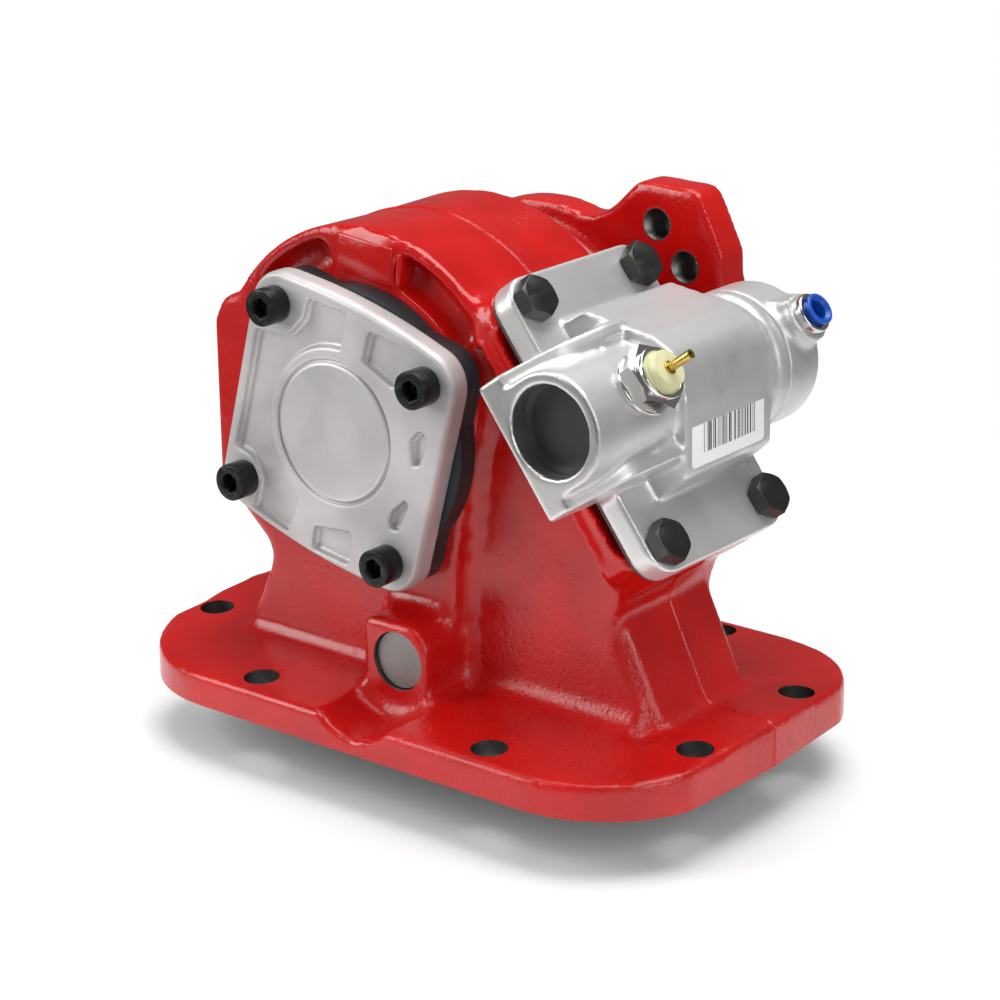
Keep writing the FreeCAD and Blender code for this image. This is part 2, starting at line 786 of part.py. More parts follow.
def cap_face(owner):
    """The turned disc, the cast recesses and the four screw holes of the cap's face."""
    ring = sketch(owner, forward=CAP_FRONT)
    circle(ring, "0", "0", "disc_radius + disc_groove")
    circle(ring, "0", "0", "disc_radius")
    pocket(owner, ring, "recess_depth / 2")
    for corners in cap_recesses():
        profile = sketch(owner, forward=CAP_FRONT)
        outline(profile, corners)
        pocket(owner, profile, "recess_depth")
    holes = sketch(owner, forward=CAP_FRONT)
    for a in (-1, 1):
        for b in (-1, 1):
            circle(holes, "%d * cap_pitch / 2" % a, "%d * cap_pitch / 2" % b,
                   "cap_screw / 2 + free_gap")
    pocket(owner, holes, "cap_thick + shim_thick")


def cap_shim():
    """The dark spacer under the cap: a round plate with a tab at each screw."""
    made = body("cap_shim")
    profile = sketch(made, forward="pedestal_front")
    circle(profile, "0", "0", "shim_radius")
    pad(made, profile, "shim_thick")
    profile = sketch(made, forward="pedestal_front")
    corner = "cap_pitch / 2 + cap_corner - 2"
    outline(profile, rectangle(corner, corner, "cap_corner"))
    pad(made, profile, "shim_thick")
    hole = sketch(made, forward=CAP_BACK)
    circle(hole, "0", "0", "bearing_radius + seat_gap")
    for a in (-1, 1):
        for b in (-1, 1):
            circle(hole, "%d * cap_pitch / 2" % a, "%d * cap_pitch / 2" % b,
                   "cap_screw / 2 + free_gap")
    pocket(made, hole, "shim_thick + 1")
    return on_output_axis(made, "cap_turn")


def socket_screw(x, z):
    """A socket head cap screw that points to the rear, its head on the cap's face."""
    front = "-%s" % CAP_FRONT
    head = cylinder("cap_head / 2", "cap_head_height", x, "%s - cap_head_height" % front, z)
    shank = cylinder("cap_screw / 2 - shaft_gap", "cap_screw_length", x, front, z)
    socket = prism("cap_socket", "cap_head_height * 0.6", x, "%s - cap_head_height" % front, z)
    return cut(fuse(head, shank), socket)


def cap_screws():
    return named(group(*[socket_screw(*polar(radius, angle)) for radius, angle in cap_spots()]),
                 "cap_screws")


def cover_spots():
    """The shift cover's four bolts on the inclined pad."""
    return [("%d * cover_bolt_x" % a, "%d * cover_bolt_y" % b) for a in (-1, 1) for b in (-1, 1)]


def hex_bolt(x, y):
    """A hexagon bolt down through the shift cover, drawn in the pad's own frame."""
    seat = "gasket_thick + cover_thick"
    upright = FreeCAD.Rotation()
    head = prism("cover_bolt_head", "cover_head_height", x, y, seat, upright)
    shank = cylinder("cover_bolt / 2 - shaft_gap", "cover_bolt_length", x, y,
                     "%s - cover_bolt_length" % seat, upright)
    return fuse(head, shank)


def on_pad(made):
    """Place what is drawn in the inclined pad's own frame on the housing."""
    turn = FreeCAD.Rotation(FreeCAD.Vector(0, 1, 0), size("pad_slope"))
    made.Placement = FreeCAD.Placement(FreeCAD.Vector(), turn)
    return move(made, "pad_x", "0", "pad_z")


def cover_bolts():
    return named(on_pad(group(*[hex_bolt(x, y) for x, y in cover_spots()])), "cover_bolts")


def cover_gasket():
    made = body("cover_gasket")
    profile = sketch(made, "XY_Plane")
    outline(profile, rectangle("pad_half_length - 0.5", "pad_half_width - 0.5", "pad_corner"))
    for x, y in cover_spots():
        circle(profile, x, y, "cover_bolt / 2 + free_gap")
    outline(profile, [("-window_upper", "-cavity_front"), ("window_lower", "-cavity_front"),
                      ("window_lower", "window_rear"), ("-window_upper", "window_rear")])
    pad(made, profile, "gasket_thick")
    return on_pad(made)


TUBE_X = "(-tube_offset)"
TUBE_Z = "(tube_height)"


def round_bar(owner, radius, front, length, hollow=False):
    """A round length of the shift cover, on the axis of its tube."""
    profile = sketch(owner, forward="-(%s)" % front)
    circle(profile, TUBE_X, TUBE_Z, radius)
    if hollow:
        return pocket(owner, profile, length)
    return pad(owner, profile, length, reverse=True)


def cover_base(owner):
    """The cover's flange with its raised bosses and side ribs."""
    profile = sketch(owner, "XY_Plane", "gasket_thick")
    outline(profile, rectangle("pad_half_length", "pad_half_width", "pad_corner"))
    pad(owner, profile, "cover_thick")


def cover_tube(owner):
    """The square-backed tube at the front, whose end face is open at its bore."""
    profile = sketch(owner, forward="tube_front")
    outline(profile, [("%s - tube_radius" % TUBE_X, "gasket_thick"),
                      ("%s + tube_radius" % TUBE_X, "gasket_thick"),
                      ("%s + tube_radius" % TUBE_X, "%s + tube_radius" % TUBE_Z,
                       "tube_radius - 0.1"),
                      ("%s - tube_radius" % TUBE_X, "%s + tube_radius" % TUBE_Z,
                       "tube_radius - 0.1")])
    pad(owner, profile, "tube_front - dome_front + 1", reverse=True)


def cover_dome(owner):
    """The roof-shaped body between the tube and the air cylinder, as heights over the pad."""
    profile = sketch(owner, forward="dome_front")
    outline(profile, [("-33", "gasket_thick"), ("-32", "18.5", "3"), ("-14", "36.5", "8"),
                      ("-3", "42.5", "12"), ("9.5", "36", "6"), ("28", "22.5", "3"),
                      ("30", "gasket_thick")])
    pad(owner, profile, "dome_front + dome_rear", reverse=True)


def cover_neck(owner):
    """The round stretch behind the dome, as far as the air cylinder's seam."""
    round_bar(owner, "cylinder_outer - 1.2", "dome_rear - 1", "4")
    round_bar(owner, "cylinder_outer", "dome_rear + 2.5", "cylinder_seam - dome_rear - 2.5")
    profile = sketch(owner, "XY_Plane", "gasket_thick")
    outline(profile, rectangle("cylinder_outer * 2", "cylinder_seam + 1"))
    pocket(owner, profile, "cylinder_outer")


def cover_fins(owner):
    """The two long curved webs that run from the tube's end face to the dome."""
    for inner, top in (("-tube_offset - tube_radius - fin_thick", "fin_upper_top"),
                       ("-tube_offset + tube_radius", "fin_lower_top")):
        profile = sketch(owner, "YZ_Plane", inner)
        outline(profile, [("-tube_front", "gasket_thick"), ("-tube_front", "10", "2"),
                          ("-tube_front + 16", "25", "14"), ("-tube_front + 33", top, "40"),
                          ("-dome_front + 2", top), ("-dome_front + 2", "15"),
                          ("-tube_front + 20", "gasket_thick", "8")])
        pad(owner, profile, "fin_thick")


def cover_hollows(owner):
    """The fork's space, the rod's guide, the tube's open end and the air cylinder."""
    low = "(gasket_thick - 1)"
    for left, front, rear, top in (
            ("-cavity_half", "-cavity_front", "cavity_rear", TUBE_Z),
            ("-arm_slot_side", "-arm_slot_front", "arm_slot_rear", "10.5")):
        profile = sketch(owner, "XY_Plane", low)
        outline(profile, [(left, front), ("cavity_half - tube_offset", front),
                          ("cavity_half - tube_offset", rear), (left, rear)])
        pocket(owner, profile, "%s - %s" % (top, low), reverse=True)
    round_bar(owner, "fork_hub_radius + cavity_gap", "-cavity_front",
              "cavity_front + cavity_rear", hollow=True)
    round_bar(owner, "rod_radius + shaft_gap", "-tube_front", "tube_front + cylinder_front + 1",
              hollow=True)
    round_bar(owner, "tube_bore", "-tube_front - 1", "tube_front + 1 - guide_front", hollow=True)
    round_bar(owner, "cylinder_bore", "cylinder_front", "cylinder_seam + 1 - cylinder_front",
              hollow=True)


def cover_seats(owner):
    """The four bolt holes, and the flat that the switch screws into."""
    profile = sketch(owner, "XY_Plane", "gasket_thick + cover_thick")
    for x, y in cover_spots():
        circle(profile, x, y, "cover_bolt / 2 + free_gap")
    pocket(owner, profile, "cover_thick + 1")
    profile = sketch(owner, "XY_Plane", "tube_height + switch_seat")
    circle(profile, TUBE_X, "-switch_y", "switch_hex / 2 + 2")
    pocket(owner, profile, "12", reverse=True)
    profile = sketch(owner, "XY_Plane", "tube_height + switch_seat")
    circle(profile, TUBE_X, "-switch_y", "switch_thread")
    pocket(owner, profile, "switch_seat - 2")


def shift_cover():
    made = body("shift_cover")
    cover_base(made)
    cover_tube(made)
    cover_dome(made)
    cover_neck(made)
    cover_fins(made)
    cover_hollows(made)
    cover_seats(made)
    return on_pad(made)


def on_tube(made):
    """Place a piece whose own axis is Y on the tube's axis."""
    turn = FreeCAD.Rotation(FreeCAD.Vector(0, 1, 0), size("pad_slope"))
    made.Placement = FreeCAD.Placement(FreeCAD.Vector(), turn)
    return move(made, "pad_x + (%s) * cos(pad_slope) + (%s) * sin(pad_slope)" % (TUBE_X, TUBE_Z),
                "0",
                "pad_z - (%s) * sin(pad_slope) + (%s) * cos(pad_slope)" % (TUBE_X, TUBE_Z))


def tube_plug():
    """The dark plug that closes the tube's open end, a shallow cup."""
    front = "(plug_recess - tube_front)"
    radius = "(tube_bore - seat_gap)"
    return on_tube(lathed("tube_plug", [
        (front, "0"), (front, "%s - 1.5" % radius), (front + " - 1.5", radius),
        (front + " + plug_thick", radius), (front + " + plug_thick", "0")]))


def air_cylinder():
    """The round cap behind the dome that holds the piston's air."""
    made = lathed("air_cylinder", [
        ("cylinder_seam", "0"), ("cylinder_seam", "cylinder_outer"),
        ("cylinder_rear", "cylinder_outer", "3"), ("cylinder_rear", "0")])
    boss_top = "(fitting_height - 4)"
    web = sketch(made, forward="web_half - fitting_y")
    outline(web, [("0", "0"), ("-web_foot", "0"), ("-web_top", boss_top), ("0", boss_top)])
    pad(made, web, "2 * web_half", reverse=True)
    boss = sketch(made, "XY_Plane")
    circle(boss, "0", "fitting_y", "fitting_boss")
    pad(made, boss, boss_top)
    for radius, floor in (("fitting_radius + seat_gap", "cylinder_outer"), ("fitting_port", "0")):
        port = sketch(made, "XY_Plane", boss_top)
        circle(port, "0", "fitting_y", radius)
        pocket(made, port, "%s - %s" % (boss_top, floor))
    round_step(made, "cylinder_bore", "cylinder_seam - 1",
               "cylinder_rear - cylinder_end_wall - cylinder_seam + 1", hollow=True)
    return on_tube(made)


def over_tube(made, along, height="0"):
    """Place a piece whose own axis is Z upright on the tube at that Y."""
    turn = FreeCAD.Rotation(FreeCAD.Vector(0, 1, 0), size("pad_slope"))
    made.Placement = FreeCAD.Placement(FreeCAD.Vector(), turn)
    up = "(%s + %s)" % (TUBE_Z, height)
    return move(made, "pad_x + (%s) * cos(pad_slope) + %s * sin(pad_slope)" % (TUBE_X, up), along,
                "pad_z - (%s) * sin(pad_slope) + %s * cos(pad_slope)" % (TUBE_X, up))


def upright_turned(label, corners, along):
    """A turned piece that stands upright over the tube, from radius and height pairs."""
    made = body(label)
    profile = sketch(made)
    outline(profile, corners)
    turned(made, profile)
    return over_tube(made, along)


def fitting_sleeve():
    """The push-in fitting's metal sleeve, pressed into the boss."""
    top = "(fitting_height - 1)"
    return upright_turned("fitting_sleeve", [
        ("fitting_radius", "cylinder_outer + 0.05"), ("fitting_radius", top, "0.8"),
        ("collet_radius + slide_gap", top), ("collet_radius + slide_gap", "fitting_height - 6.5"),
        ("tube_hole + 0.2", "fitting_height - 6.5"), ("tube_hole + 0.2", "cylinder_outer + 0.05")],
        "fitting_y")


def fitting_collet():
    """The blue release ring that a hose is pushed through."""
    top = "(fitting_height + collet_travel)"
    return upright_turned("fitting_collet", [
        ("collet_radius", "fitting_height - 6.5 + collet_travel + 0.3"),
        ("collet_radius", "fitting_height - 1 + 0.2 + collet_travel"),
        ("collet_radius + 1", "fitting_height - 1 + 0.2 + collet_travel"),
        ("collet_radius + 1", top, "0.6"), ("tube_hole + 1", top),
        ("tube_hole", top + " - 1.2"), ("tube_hole", "fitting_height - 6.5 + collet_travel + 0.3")],
        "fitting_y")


SWITCH_TOP = "(switch_seat + switch_washer + switch_hex_height + switch_collar)"
INSULATOR_TOP = "(%s - insulator_seat + insulator_length)" % SWITCH_TOP


def switch_body():
    """The indicator switch's chromed hexagon body, with its round collar and tip."""
    made = body("switch_body")
    hexagon = sketch(made, "XY_Plane", "switch_seat + switch_washer")
    across = "(switch_hex / 2 / cos(30))"
    outline(hexagon, [("%s * cos(%d)" % (across, angle), "%s * sin(%d)" % (across, angle))
                      for angle in range(0, 360, 60)])
    pad(made, hexagon, "switch_hex_height")
    washer = sketch(made, "XY_Plane", "switch_seat")
    circle(washer, "0", "0", "switch_hex / 2 + 0.6")
    pad(made, washer, "switch_washer")
    collar = sketch(made, "XY_Plane", "%s - switch_collar" % SWITCH_TOP)
    circle(collar, "0", "0", "switch_hex / 2 - 1")
    pad(made, collar, "switch_collar")
    tip = sketch(made, "XY_Plane", "switch_seat")
    circle(tip, "0", "0", "switch_thread - seat_gap")
    pad(made, tip, "switch_seat - switch_tip", reverse=True)
    socket = sketch(made, "XY_Plane", "switch_tip")
    circle(socket, "0", "0", "switch_ball + slide_gap")
    pocket(made, socket, "switch_ball * 2 + 1", reverse=True)
    well = sketch(made, "XY_Plane", SWITCH_TOP)
    circle(well, "0", "0", "insulator_radius")
    pocket(made, well, "insulator_seat")
    return over_tube(made, "-switch_y")


def switch_insulator():
    made = body("switch_insulator")
    base = sketch(made, "XY_Plane", "%s - insulator_seat" % SWITCH_TOP)
    circle(base, "0", "0", "insulator_radius - seat_gap")
    pad(made, base, "insulator_length")
    hole = sketch(made, "XY_Plane", INSULATOR_TOP)
    circle(hole, "0", "0", "pin_root_radius + seat_gap")
    pocket(made, hole, "pin_root_length")
    return over_tube(made, "-switch_y")


def switch_terminal():
    """The brass pin, thicker where it stands in the insulator."""
    upright = FreeCAD.Rotation()
    foot = "%s + free_gap - pin_root_length" % INSULATOR_TOP
    root = cylinder("pin_root_radius", "pin_root_length", "0", "0", foot, upright)
    pin = cylinder("pin_radius", "pin_root_length + pin_length", "0", "0", foot, upright)
    return named(over_tube(fuse(root, pin), "-switch_y"), "switch_terminal")


def switch_ball():
    """The switch's ball, which rides on the shift rod."""
    made = doc.addObject("Part::Sphere", "Sphere")
    made.setExpression("Radius", bind("switch_ball"))
    return named(over_tube(group(made), "-switch_y", "rod_radius + free_gap + switch_ball"),
                 "switch_ball")


def shift_rod():
    """The rod that the piston drives, with its cross hole for the fork's pin."""
    made = body("shift_rod")
    profile = sketch(made, forward="rod_front")
    circle(profile, "0", "0", "rod_radius")
    pad(made, profile, "rod_front + %s + piston_thick - seat_gap" % PISTON_FRONT, reverse=True)
    hole = sketch(made, "XY_Plane", "rod_radius + 1")
    circle(hole, "0", FORK_MIDDLE, "fork_pin / 2 + seat_gap")
    pocket(made, hole, "rod_radius * 2 + 2")
    return on_tube(made)


def piston():
    """The air piston: a turned disc with a seal groove and a seat for the spring."""
    front, bore = PISTON_FRONT, "(rod_radius + seat_gap)"
    outer = "(cylinder_bore - piston_gap)"
    rear = "(%s + piston_thick)" % front
    return on_tube(lathed("piston", [
        (front, outer), (front, "spring_radius + 1.8"),
        (front + " + spring_seat", "spring_radius + 1.8"), (front + " + spring_seat", bore),
        (rear, bore), (rear, "0"), (rear + " + piston_stub", "0"),
        (rear + " + piston_stub", "piston_stub_radius", "1"), (rear, "piston_stub_radius"),
        (rear, outer),
        (rear + " - 2", outer), (rear + " - 2", outer + " - 2.4"),
        (rear + " - 4.6", outer + " - 2.4"), (rear + " - 4.6", outer)]))


def piston_seal():
    rear = "(%s + piston_thick)" % PISTON_FRONT
    outer = "(cylinder_bore - piston_gap)"
    return on_tube(lathed("piston_seal", [
        (rear + " - 2.05", outer + " - 2.35"), (rear + " - 2.05", "cylinder_bore - 0.05"),
        (rear + " - 4.55", "cylinder_bore - 0.05"), (rear + " - 4.55", outer + " - 2.35")]))


ROD_X = "(pad_x + %s * cos(pad_slope) + %s * sin(pad_slope))" % (TUBE_X, TUBE_Z)
ROD_Z = "(pad_z - %s * sin(pad_slope) + %s * cos(pad_slope))" % (TUBE_X, TUBE_Z)
ARM_ANGLE = "(atan((%s - %s) / (%s - %s)) / 1 deg)" % (ROD_Z, OUTPUT_Z, ROD_X, OUTPUT_X)
ARM_REACH = "sqrt((%s - %s)^2 + (%s - %s)^2)" % (ROD_Z, OUTPUT_Z, ROD_X, OUTPUT_X)


def shift_fork():
    """The fork: a crescent in the output gear's groove, an arm and a hub on the rod."""
    made = body("shift_fork")
    front = "fork_thick / 2 - %s" % FORK_MIDDLE
    crescent = sketch(made, forward=front)
    circle(crescent, OUTPUT_X, OUTPUT_Z, "fork_outer")
    circle(crescent, OUTPUT_X, OUTPUT_Z, "groove_radius + free_gap")
    pad(made, crescent, "fork_thick", reverse=True)
    opening = sketch(made, forward=front)
    middle = "((fork_first + fork_last) / 2 + 180)"
    outline(opening, [polar("0.5", middle + " - 180"), polar("fork_outer * 3", "fork_last"),
                      polar("fork_outer * 4", middle), polar("fork_outer * 3", "fork_first")])
    pocket(made, opening, "fork_thick")
    arm = sketch(made, forward=front)
    outline(arm, [polar("fork_outer - 3", "%s + 26" % ARM_ANGLE),
                  polar("fork_outer - 3", "%s - 26" % ARM_ANGLE),
                  polar(ARM_REACH, "%s - 4" % ARM_ANGLE), polar(ARM_REACH, "%s + 4" % ARM_ANGLE)])
    pad(made, arm, "fork_thick", reverse=True)
    hub = sketch(made, forward="fork_hub_length / 2 - %s" % FORK_MIDDLE)
    circle(hub, ROD_X, ROD_Z, "fork_hub_radius")
    pad(made, hub, "fork_hub_length", reverse=True)
    bore = sketch(made, forward="fork_hub_length / 2 - %s" % FORK_MIDDLE)
    circle(bore, ROD_X, ROD_Z, "rod_radius + seat_gap")
    pocket(made, bore, "fork_hub_length")
    return pinned(made)


def pinned(owner):
    """The cross hole for the pin, square to the housing's inclined pad."""
    hole = pad_plane(owner, "tube_height + fork_hub_radius + 1")
    circle(hole, TUBE_X, FORK_MIDDLE, "fork_pin / 2 + seat_gap")
    pocket(owner, hole, "fork_hub_radius * 2 + 2")
    return owner


def fork_pin():
    made = cylinder("fork_pin / 2", "fork_hub_radius * 2 - 2", "0", "0",
                    "1 - fork_hub_radius", FreeCAD.Rotation())
    return named(over_tube(group(made), FORK_MIDDLE), "fork_pin")


def return_spring():
    """The coil spring between the cover's inner wall and the piston."""
    seat = "(%s + spring_seat)" % PISTON_FRONT
    span = "(%s - cylinder_front - spring_wire - 2 * free_gap)" % seat
    path = doc.addObject("Part::Helix", "Helix")
    path.setExpression("Pitch", bind("%s / spring_turns" % span))
    path.setExpression("Height", bind(span))
    path.setExpression("Radius", bind("spring_radius"))
    wire = doc.addObject("Part::Circle", "Circle")
    wire.setExpression("Radius", bind("spring_wire / 2"))
    move(wire, "spring_radius", rotation=FreeCAD.Rotation(FreeCAD.Vector(1, 0, 0), 90))
    made = doc.addObject("Part::Sweep", "return_spring")
    made.Sections = [wire]
    made.Spine = (path, ["Edge1"])
    made.Solid = True
    made.Frenet = True
    turn = FreeCAD.Rotation(FreeCAD.Vector(1, 0, 0), -90)
    made.Placement = FreeCAD.Placement(FreeCAD.Vector(), turn)
    return move(made, ROD_X, "cylinder_front + free_gap + spring_wire / 2", ROD_Z)


def tooth_spaces(owner, teeth, front, face, toward):
    """Cut the spaces between involute teeth, with one tooth centred on an angle."""
    count, module = size(teeth), size("gear_module")
    pressure = math.radians(size("pressure_angle"))
    pitch = module * count / 2
    base = pitch * math.cos(pressure)
    root = pitch - module - size("tip_clearance")
    tip = pitch + module + 0.5
    half_tooth = (math.pi * module / 2 - size("tooth_thinning")) / (2 * pitch)

    def half_space(radius):
        roll = math.acos(min(1, base / radius))
        return (math.pi / count - half_tooth - (math.tan(pressure) - pressure)
                + (math.tan(roll) - roll))

    def spot(radius, side):
        angle = math.radians(size(toward)) + math.pi / count + side * half_space(max(radius, base))
        return FreeCAD.Vector(radius * math.cos(angle), radius * math.sin(angle))

    profile = sketch(owner, forward="-(%s)" % front)
    start = max(base, root)
    for side in (-1, 1):
        if root < base:
            profile.addGeometry(Part.LineSegment(spot(root, side), spot(base, side)))
        profile.addGeometry(Part.Arc(spot(start, side), spot((start + tip) / 2, side),
                                     spot(tip, side)))
    floor = math.radians(size(toward)) + math.pi / count
    profile.addGeometry(Part.Arc(
        spot(root, -1), FreeCAD.Vector(root * math.cos(floor), root * math.sin(floor)),
        spot(root, 1)))
    profile.addGeometry(Part.LineSegment(spot(tip, -1), spot(tip, 1)))
    space = pocket(owner, profile, face)
    return repeat(owner, space, teeth)


def slots(owner, count, width, reach, front, length):
    """Straight-sided spline slots cut outward round an axis."""
    profile = sketch(owner, forward="-(%s)" % front)
    half = "(%s) / 2" % width
    outline(profile, [("-" + half, "0"), (half, "0"), (half, reach), ("-" + half, reach)])
    return repeat(owner, pocket(owner, profile, length), count)


def round_step(owner, radius, front, length, hollow=False):
    """A round length, or a bore, on the body's own Y axis."""
    return disc(owner, radius, front, length, "0", "0", hollow)


def input_gear():
    """The input gear, which meshes with the gearbox below the mounting face."""
    made = body("input_gear")
    round_step(made, INPUT_TIP, "input_front", "input_face")
    tooth_spaces(made, "input_teeth", "input_front", "input_face", "90 + line_angle")
    round_step(made, "idler_radius + 2 * roller_radius + 2 * shaft_gap", "input_front",
               "input_face", hollow=True)
    return move(made, "0", "0", "idler_height")


def output_gear():
    """The sliding gear, with its splined bore and the fork's groove in its hub."""
    made = body("output_gear")
    round_step(made, OUTPUT_TIP, "output_front", "output_face")
    tooth_spaces(made, "output_teeth", "output_front", "output_face",
                 "270 + line_angle + 180 / output_teeth")
    round_step(made, "hub_radius", "output_front - hub_length", "hub_length")
    ring = sketch(made, forward="-%s" % GROOVE_FRONT)
    circle(ring, "0", "0", "hub_radius + 1")
    circle(ring, "0", "0", "groove_radius")
    pocket(made, ring, "groove_width")
    span = "output_face + hub_length"
    round_step(made, "spline_inner + slide_gap", "output_front - hub_length", span, hollow=True)
    slots(made, "spline_count", "spline_width + 2 * slide_gap", "spline_outer + slide_gap",
          "output_front - hub_length", span)
    return move(made, OUTPUT_X, "0", OUTPUT_Z)


def output_shaft():
    """The output shaft: bearing seats, splines for the gear and a splined pump bore."""
    made = body("output_shaft")
    spline_front = "(front_bearing_y + bearing_width)"
    spline_span = "(chamber_rear - 1 - %s)" % spline_front
    round_step(made, "spline_inner", spline_front, "rear_bearing_y - " + spline_front)
    key = sketch(made, forward="-%s" % spline_front)
    half = "spline_width / 2"
    outline(key, [("-" + half, "0"), (half, "0"), (half, "spline_outer"),
                  ("-" + half, "spline_outer")])
    repeat(made, pad(made, key, spline_span, reverse=True), "spline_count")
    round_step(made, "shaft_radius", "front_bearing_y - 2.5", "20")
    round_step(made, "shaft_radius", "rear_bearing_y - 1",
               "%s - 1 - rear_bearing_y + 1" % PILOT_FLOOR)
    mouth = "(%s - 1)" % PILOT_FLOOR
    start = "%s - pump_bore_depth" % mouth
    round_step(made, "pump_bore_inner", start, "pump_bore_depth + 1", hollow=True)
    slots(made, "pump_bore_teeth", "pi * pump_bore_inner / pump_bore_teeth", "pump_bore_outer",
          start, "pump_bore_depth + 1")
    return move(made, OUTPUT_X, "0", OUTPUT_Z)


APEX = "(cup_race / tan(cup_angle))"
CONE_ANGLE = "(atan(cone_race / %s) / 1 deg)" % APEX


def race(label, front, facing, points):
    """One ring of a tapered bearing: radius and distance from the bearing's middle."""
    middle = "(%s + bearing_width / 2)" % front
    made = lathed(label, [("%s + %d * (%s)" % (middle, facing, along), radius)
                          for radius, along in points])
    return move(made, OUTPUT_X, "0", OUTPUT_Z)


def bearing_cone(label, front, facing):
    half = "bearing_width / 2"
    lip = "taper_length / 2 + 1"
    slope = "cone_race / %s" % APEX
    return race(label, front, facing, [
        ("shaft_radius + seat_gap", "-(%s)" % half), ("shaft_radius + seat_gap", half),
        ("cone_race + 2.4", half), ("cone_race + 2.4", lip),
        ("cone_race + (%s) * (%s)" % (lip, slope), lip),
        ("cone_race - (%s) * (%s)" % (lip, slope), "-(%s)" % lip),
        ("cone_race - (%s) * (%s) + 0.8" % (lip, slope), "-(%s)" % lip),
        ("cone_race - (%s) * (%s) + 0.8" % (lip, slope), "-(%s)" % half)])


def bearing_cup(label, front, facing):
    half = "bearing_width / 2"
    slope = "tan(cup_angle)"
    return race(label, front, facing, [
        ("bearing_radius", half), ("bearing_radius", "1 - " + half),
        ("cup_race + (1 - %s) * %s" % (half, slope), "1 - " + half),
        ("cup_race + (%s) * %s" % (half, slope), half)])


def bearing_rollers(label, front, facing):
    """Tapered rollers between a cone and its cup, their axes meeting at one point."""
    apex, cone = size(APEX), math.radians(size(CONE_ANGLE))
    cup = math.radians(size("cup_angle"))
    lean = (cone + cup) / 2
    spread = math.tan((cup - cone) / 2)
    reach = apex / math.cos(lean)
    half = size("taper_length") / 2
    centre = size("%s + bearing_width / 2" % front)
    rollers = []
    for index in range(int(size("taper_rollers"))):
        made = doc.addObject("Part::Cone", "Roller")
        made.Radius1 = (reach - half) * spread - size("shaft_gap")
        made.Radius2 = (reach + half) * spread - size("shaft_gap")
        made.setExpression("Height", bind("taper_length"))
        spin = FreeCAD.Rotation(FreeCAD.Vector(0, 1, 0), 360 * index / size("taper_rollers"))
        lay = FreeCAD.Rotation(FreeCAD.Vector(1, 0, 0), -90 * facing)
        tilt = FreeCAD.Rotation(FreeCAD.Vector(1, 0, 0), math.degrees(lean) * facing)
        middle = FreeCAD.Vector(0, 0, apex * math.tan(lean))
        axis = (tilt * lay).multVec(FreeCAD.Vector(0, 0, 1))
        place = FreeCAD.Placement(middle - axis * half, tilt * lay)
        made.Placement = FreeCAD.Placement(FreeCAD.Vector(0, centre, 0), spin) * place
        rollers.append(made)
    return named(move_group(rollers), label)


def move_group(pieces):
    return move(group(*pieces), OUTPUT_X, "0", OUTPUT_Z)


def bearings():
    """Both tapered bearings of the output shaft, their rollers' small ends inward."""
    made = []
    for name, front, facing in (("front", "front_bearing_y", -1), ("rear", "rear_bearing_y", 1)):
        made.append(bearing_cone(name + "_bearing_cone", front, facing))
        made.append(bearing_cup(name + "_bearing_cup", front, facing))
        made.append(bearing_rollers(name + "_bearing_rollers", front, facing))
    return made


def shaft_seal():
    """The oil seal behind the rear bearing."""
    start = "(rear_bearing_y + bearing_width + slide_gap)"
    made = lathed("shaft_seal", [
        (start, "bearing_radius"), (start + " + seal_width", "bearing_radius"),
        (start + " + seal_width", "shaft_radius + 1.5"),
        (start + " + seal_width / 2", "shaft_radius + shaft_gap"),
        (start + " + seal_width / 2 - 1", "shaft_radius + shaft_gap"),
        (start + " + 1.5", "shaft_radius + 5"), (start + " + 5", "shaft_radius + 7"),
        (start + " + 5", "bearing_radius - 4"), (start, "bearing_radius - 4")])
    return move(made, OUTPUT_X, "0", OUTPUT_Z)


def idler_shaft():
    front = "(idler_recess - boss_front)"
    made = cylinder("idler_radius", "idler_rear - %s" % front, "0", front, "idler_height")
    return named(group(made), "idler_shaft")


def idler_rollers():
    """The needle rollers between the idler shaft and the input gear."""
    rollers = []
    reach = "(idler_radius + roller_radius + shaft_gap)"
    for index in range(int(size("roller_count"))):
        turn = "(%d * 360 / roller_count)" % index
        rollers.append(cylinder("roller_radius - shaft_gap / 2", "input_face - 1",
                                "%s * cos(%s)" % (reach, turn), "input_front + 0.5",
                                "idler_height + %s * sin(%s)" % (reach, turn)))
    return named(group(*rollers), "idler_rollers")


def thrust_washers():
    """The two washers either side of the input gear."""
    pieces = []
    for front in ("input_front - washer_thick + slide_gap / 2",
                  "input_front + input_face + slide_gap / 2"):
        outer = cylinder("idler_boss_radius - 1", "washer_thick - slide_gap", "0", front,
                         "idler_height")
        inner = cylinder("idler_radius + shaft_gap", "washer_thick", "0", front, "idler_height")
        pieces.append(cut(outer, inner))
    return named(group(*pieces), "thrust_washers")


def write_parts(pieces):
    """Check every object, then write each sub-part to a file named by its label."""
    doc.recompute()
    for item in doc.Objects:
        if "Invalid" in item.State or "Error" in item.State:
            raise RuntimeError("%s failed: %s" % (item.Name, item.State))
    for piece in pieces:
        shape = piece.Shape
        if shape.isNull() or not shape.isValid() or not shape.Solids:
            raise RuntimeError("%s has no valid solid" % piece.Label)
    os.makedirs("parts", exist_ok=True)
    for piece in pieces:
        piece.Shape.exportStep("parts/%s.step" % piece.Label)
        print("%s: %d solid(s), %.0f mm3" % (piece.Label, len(piece.Shape.Solids),
                                             piece.Shape.Volume))


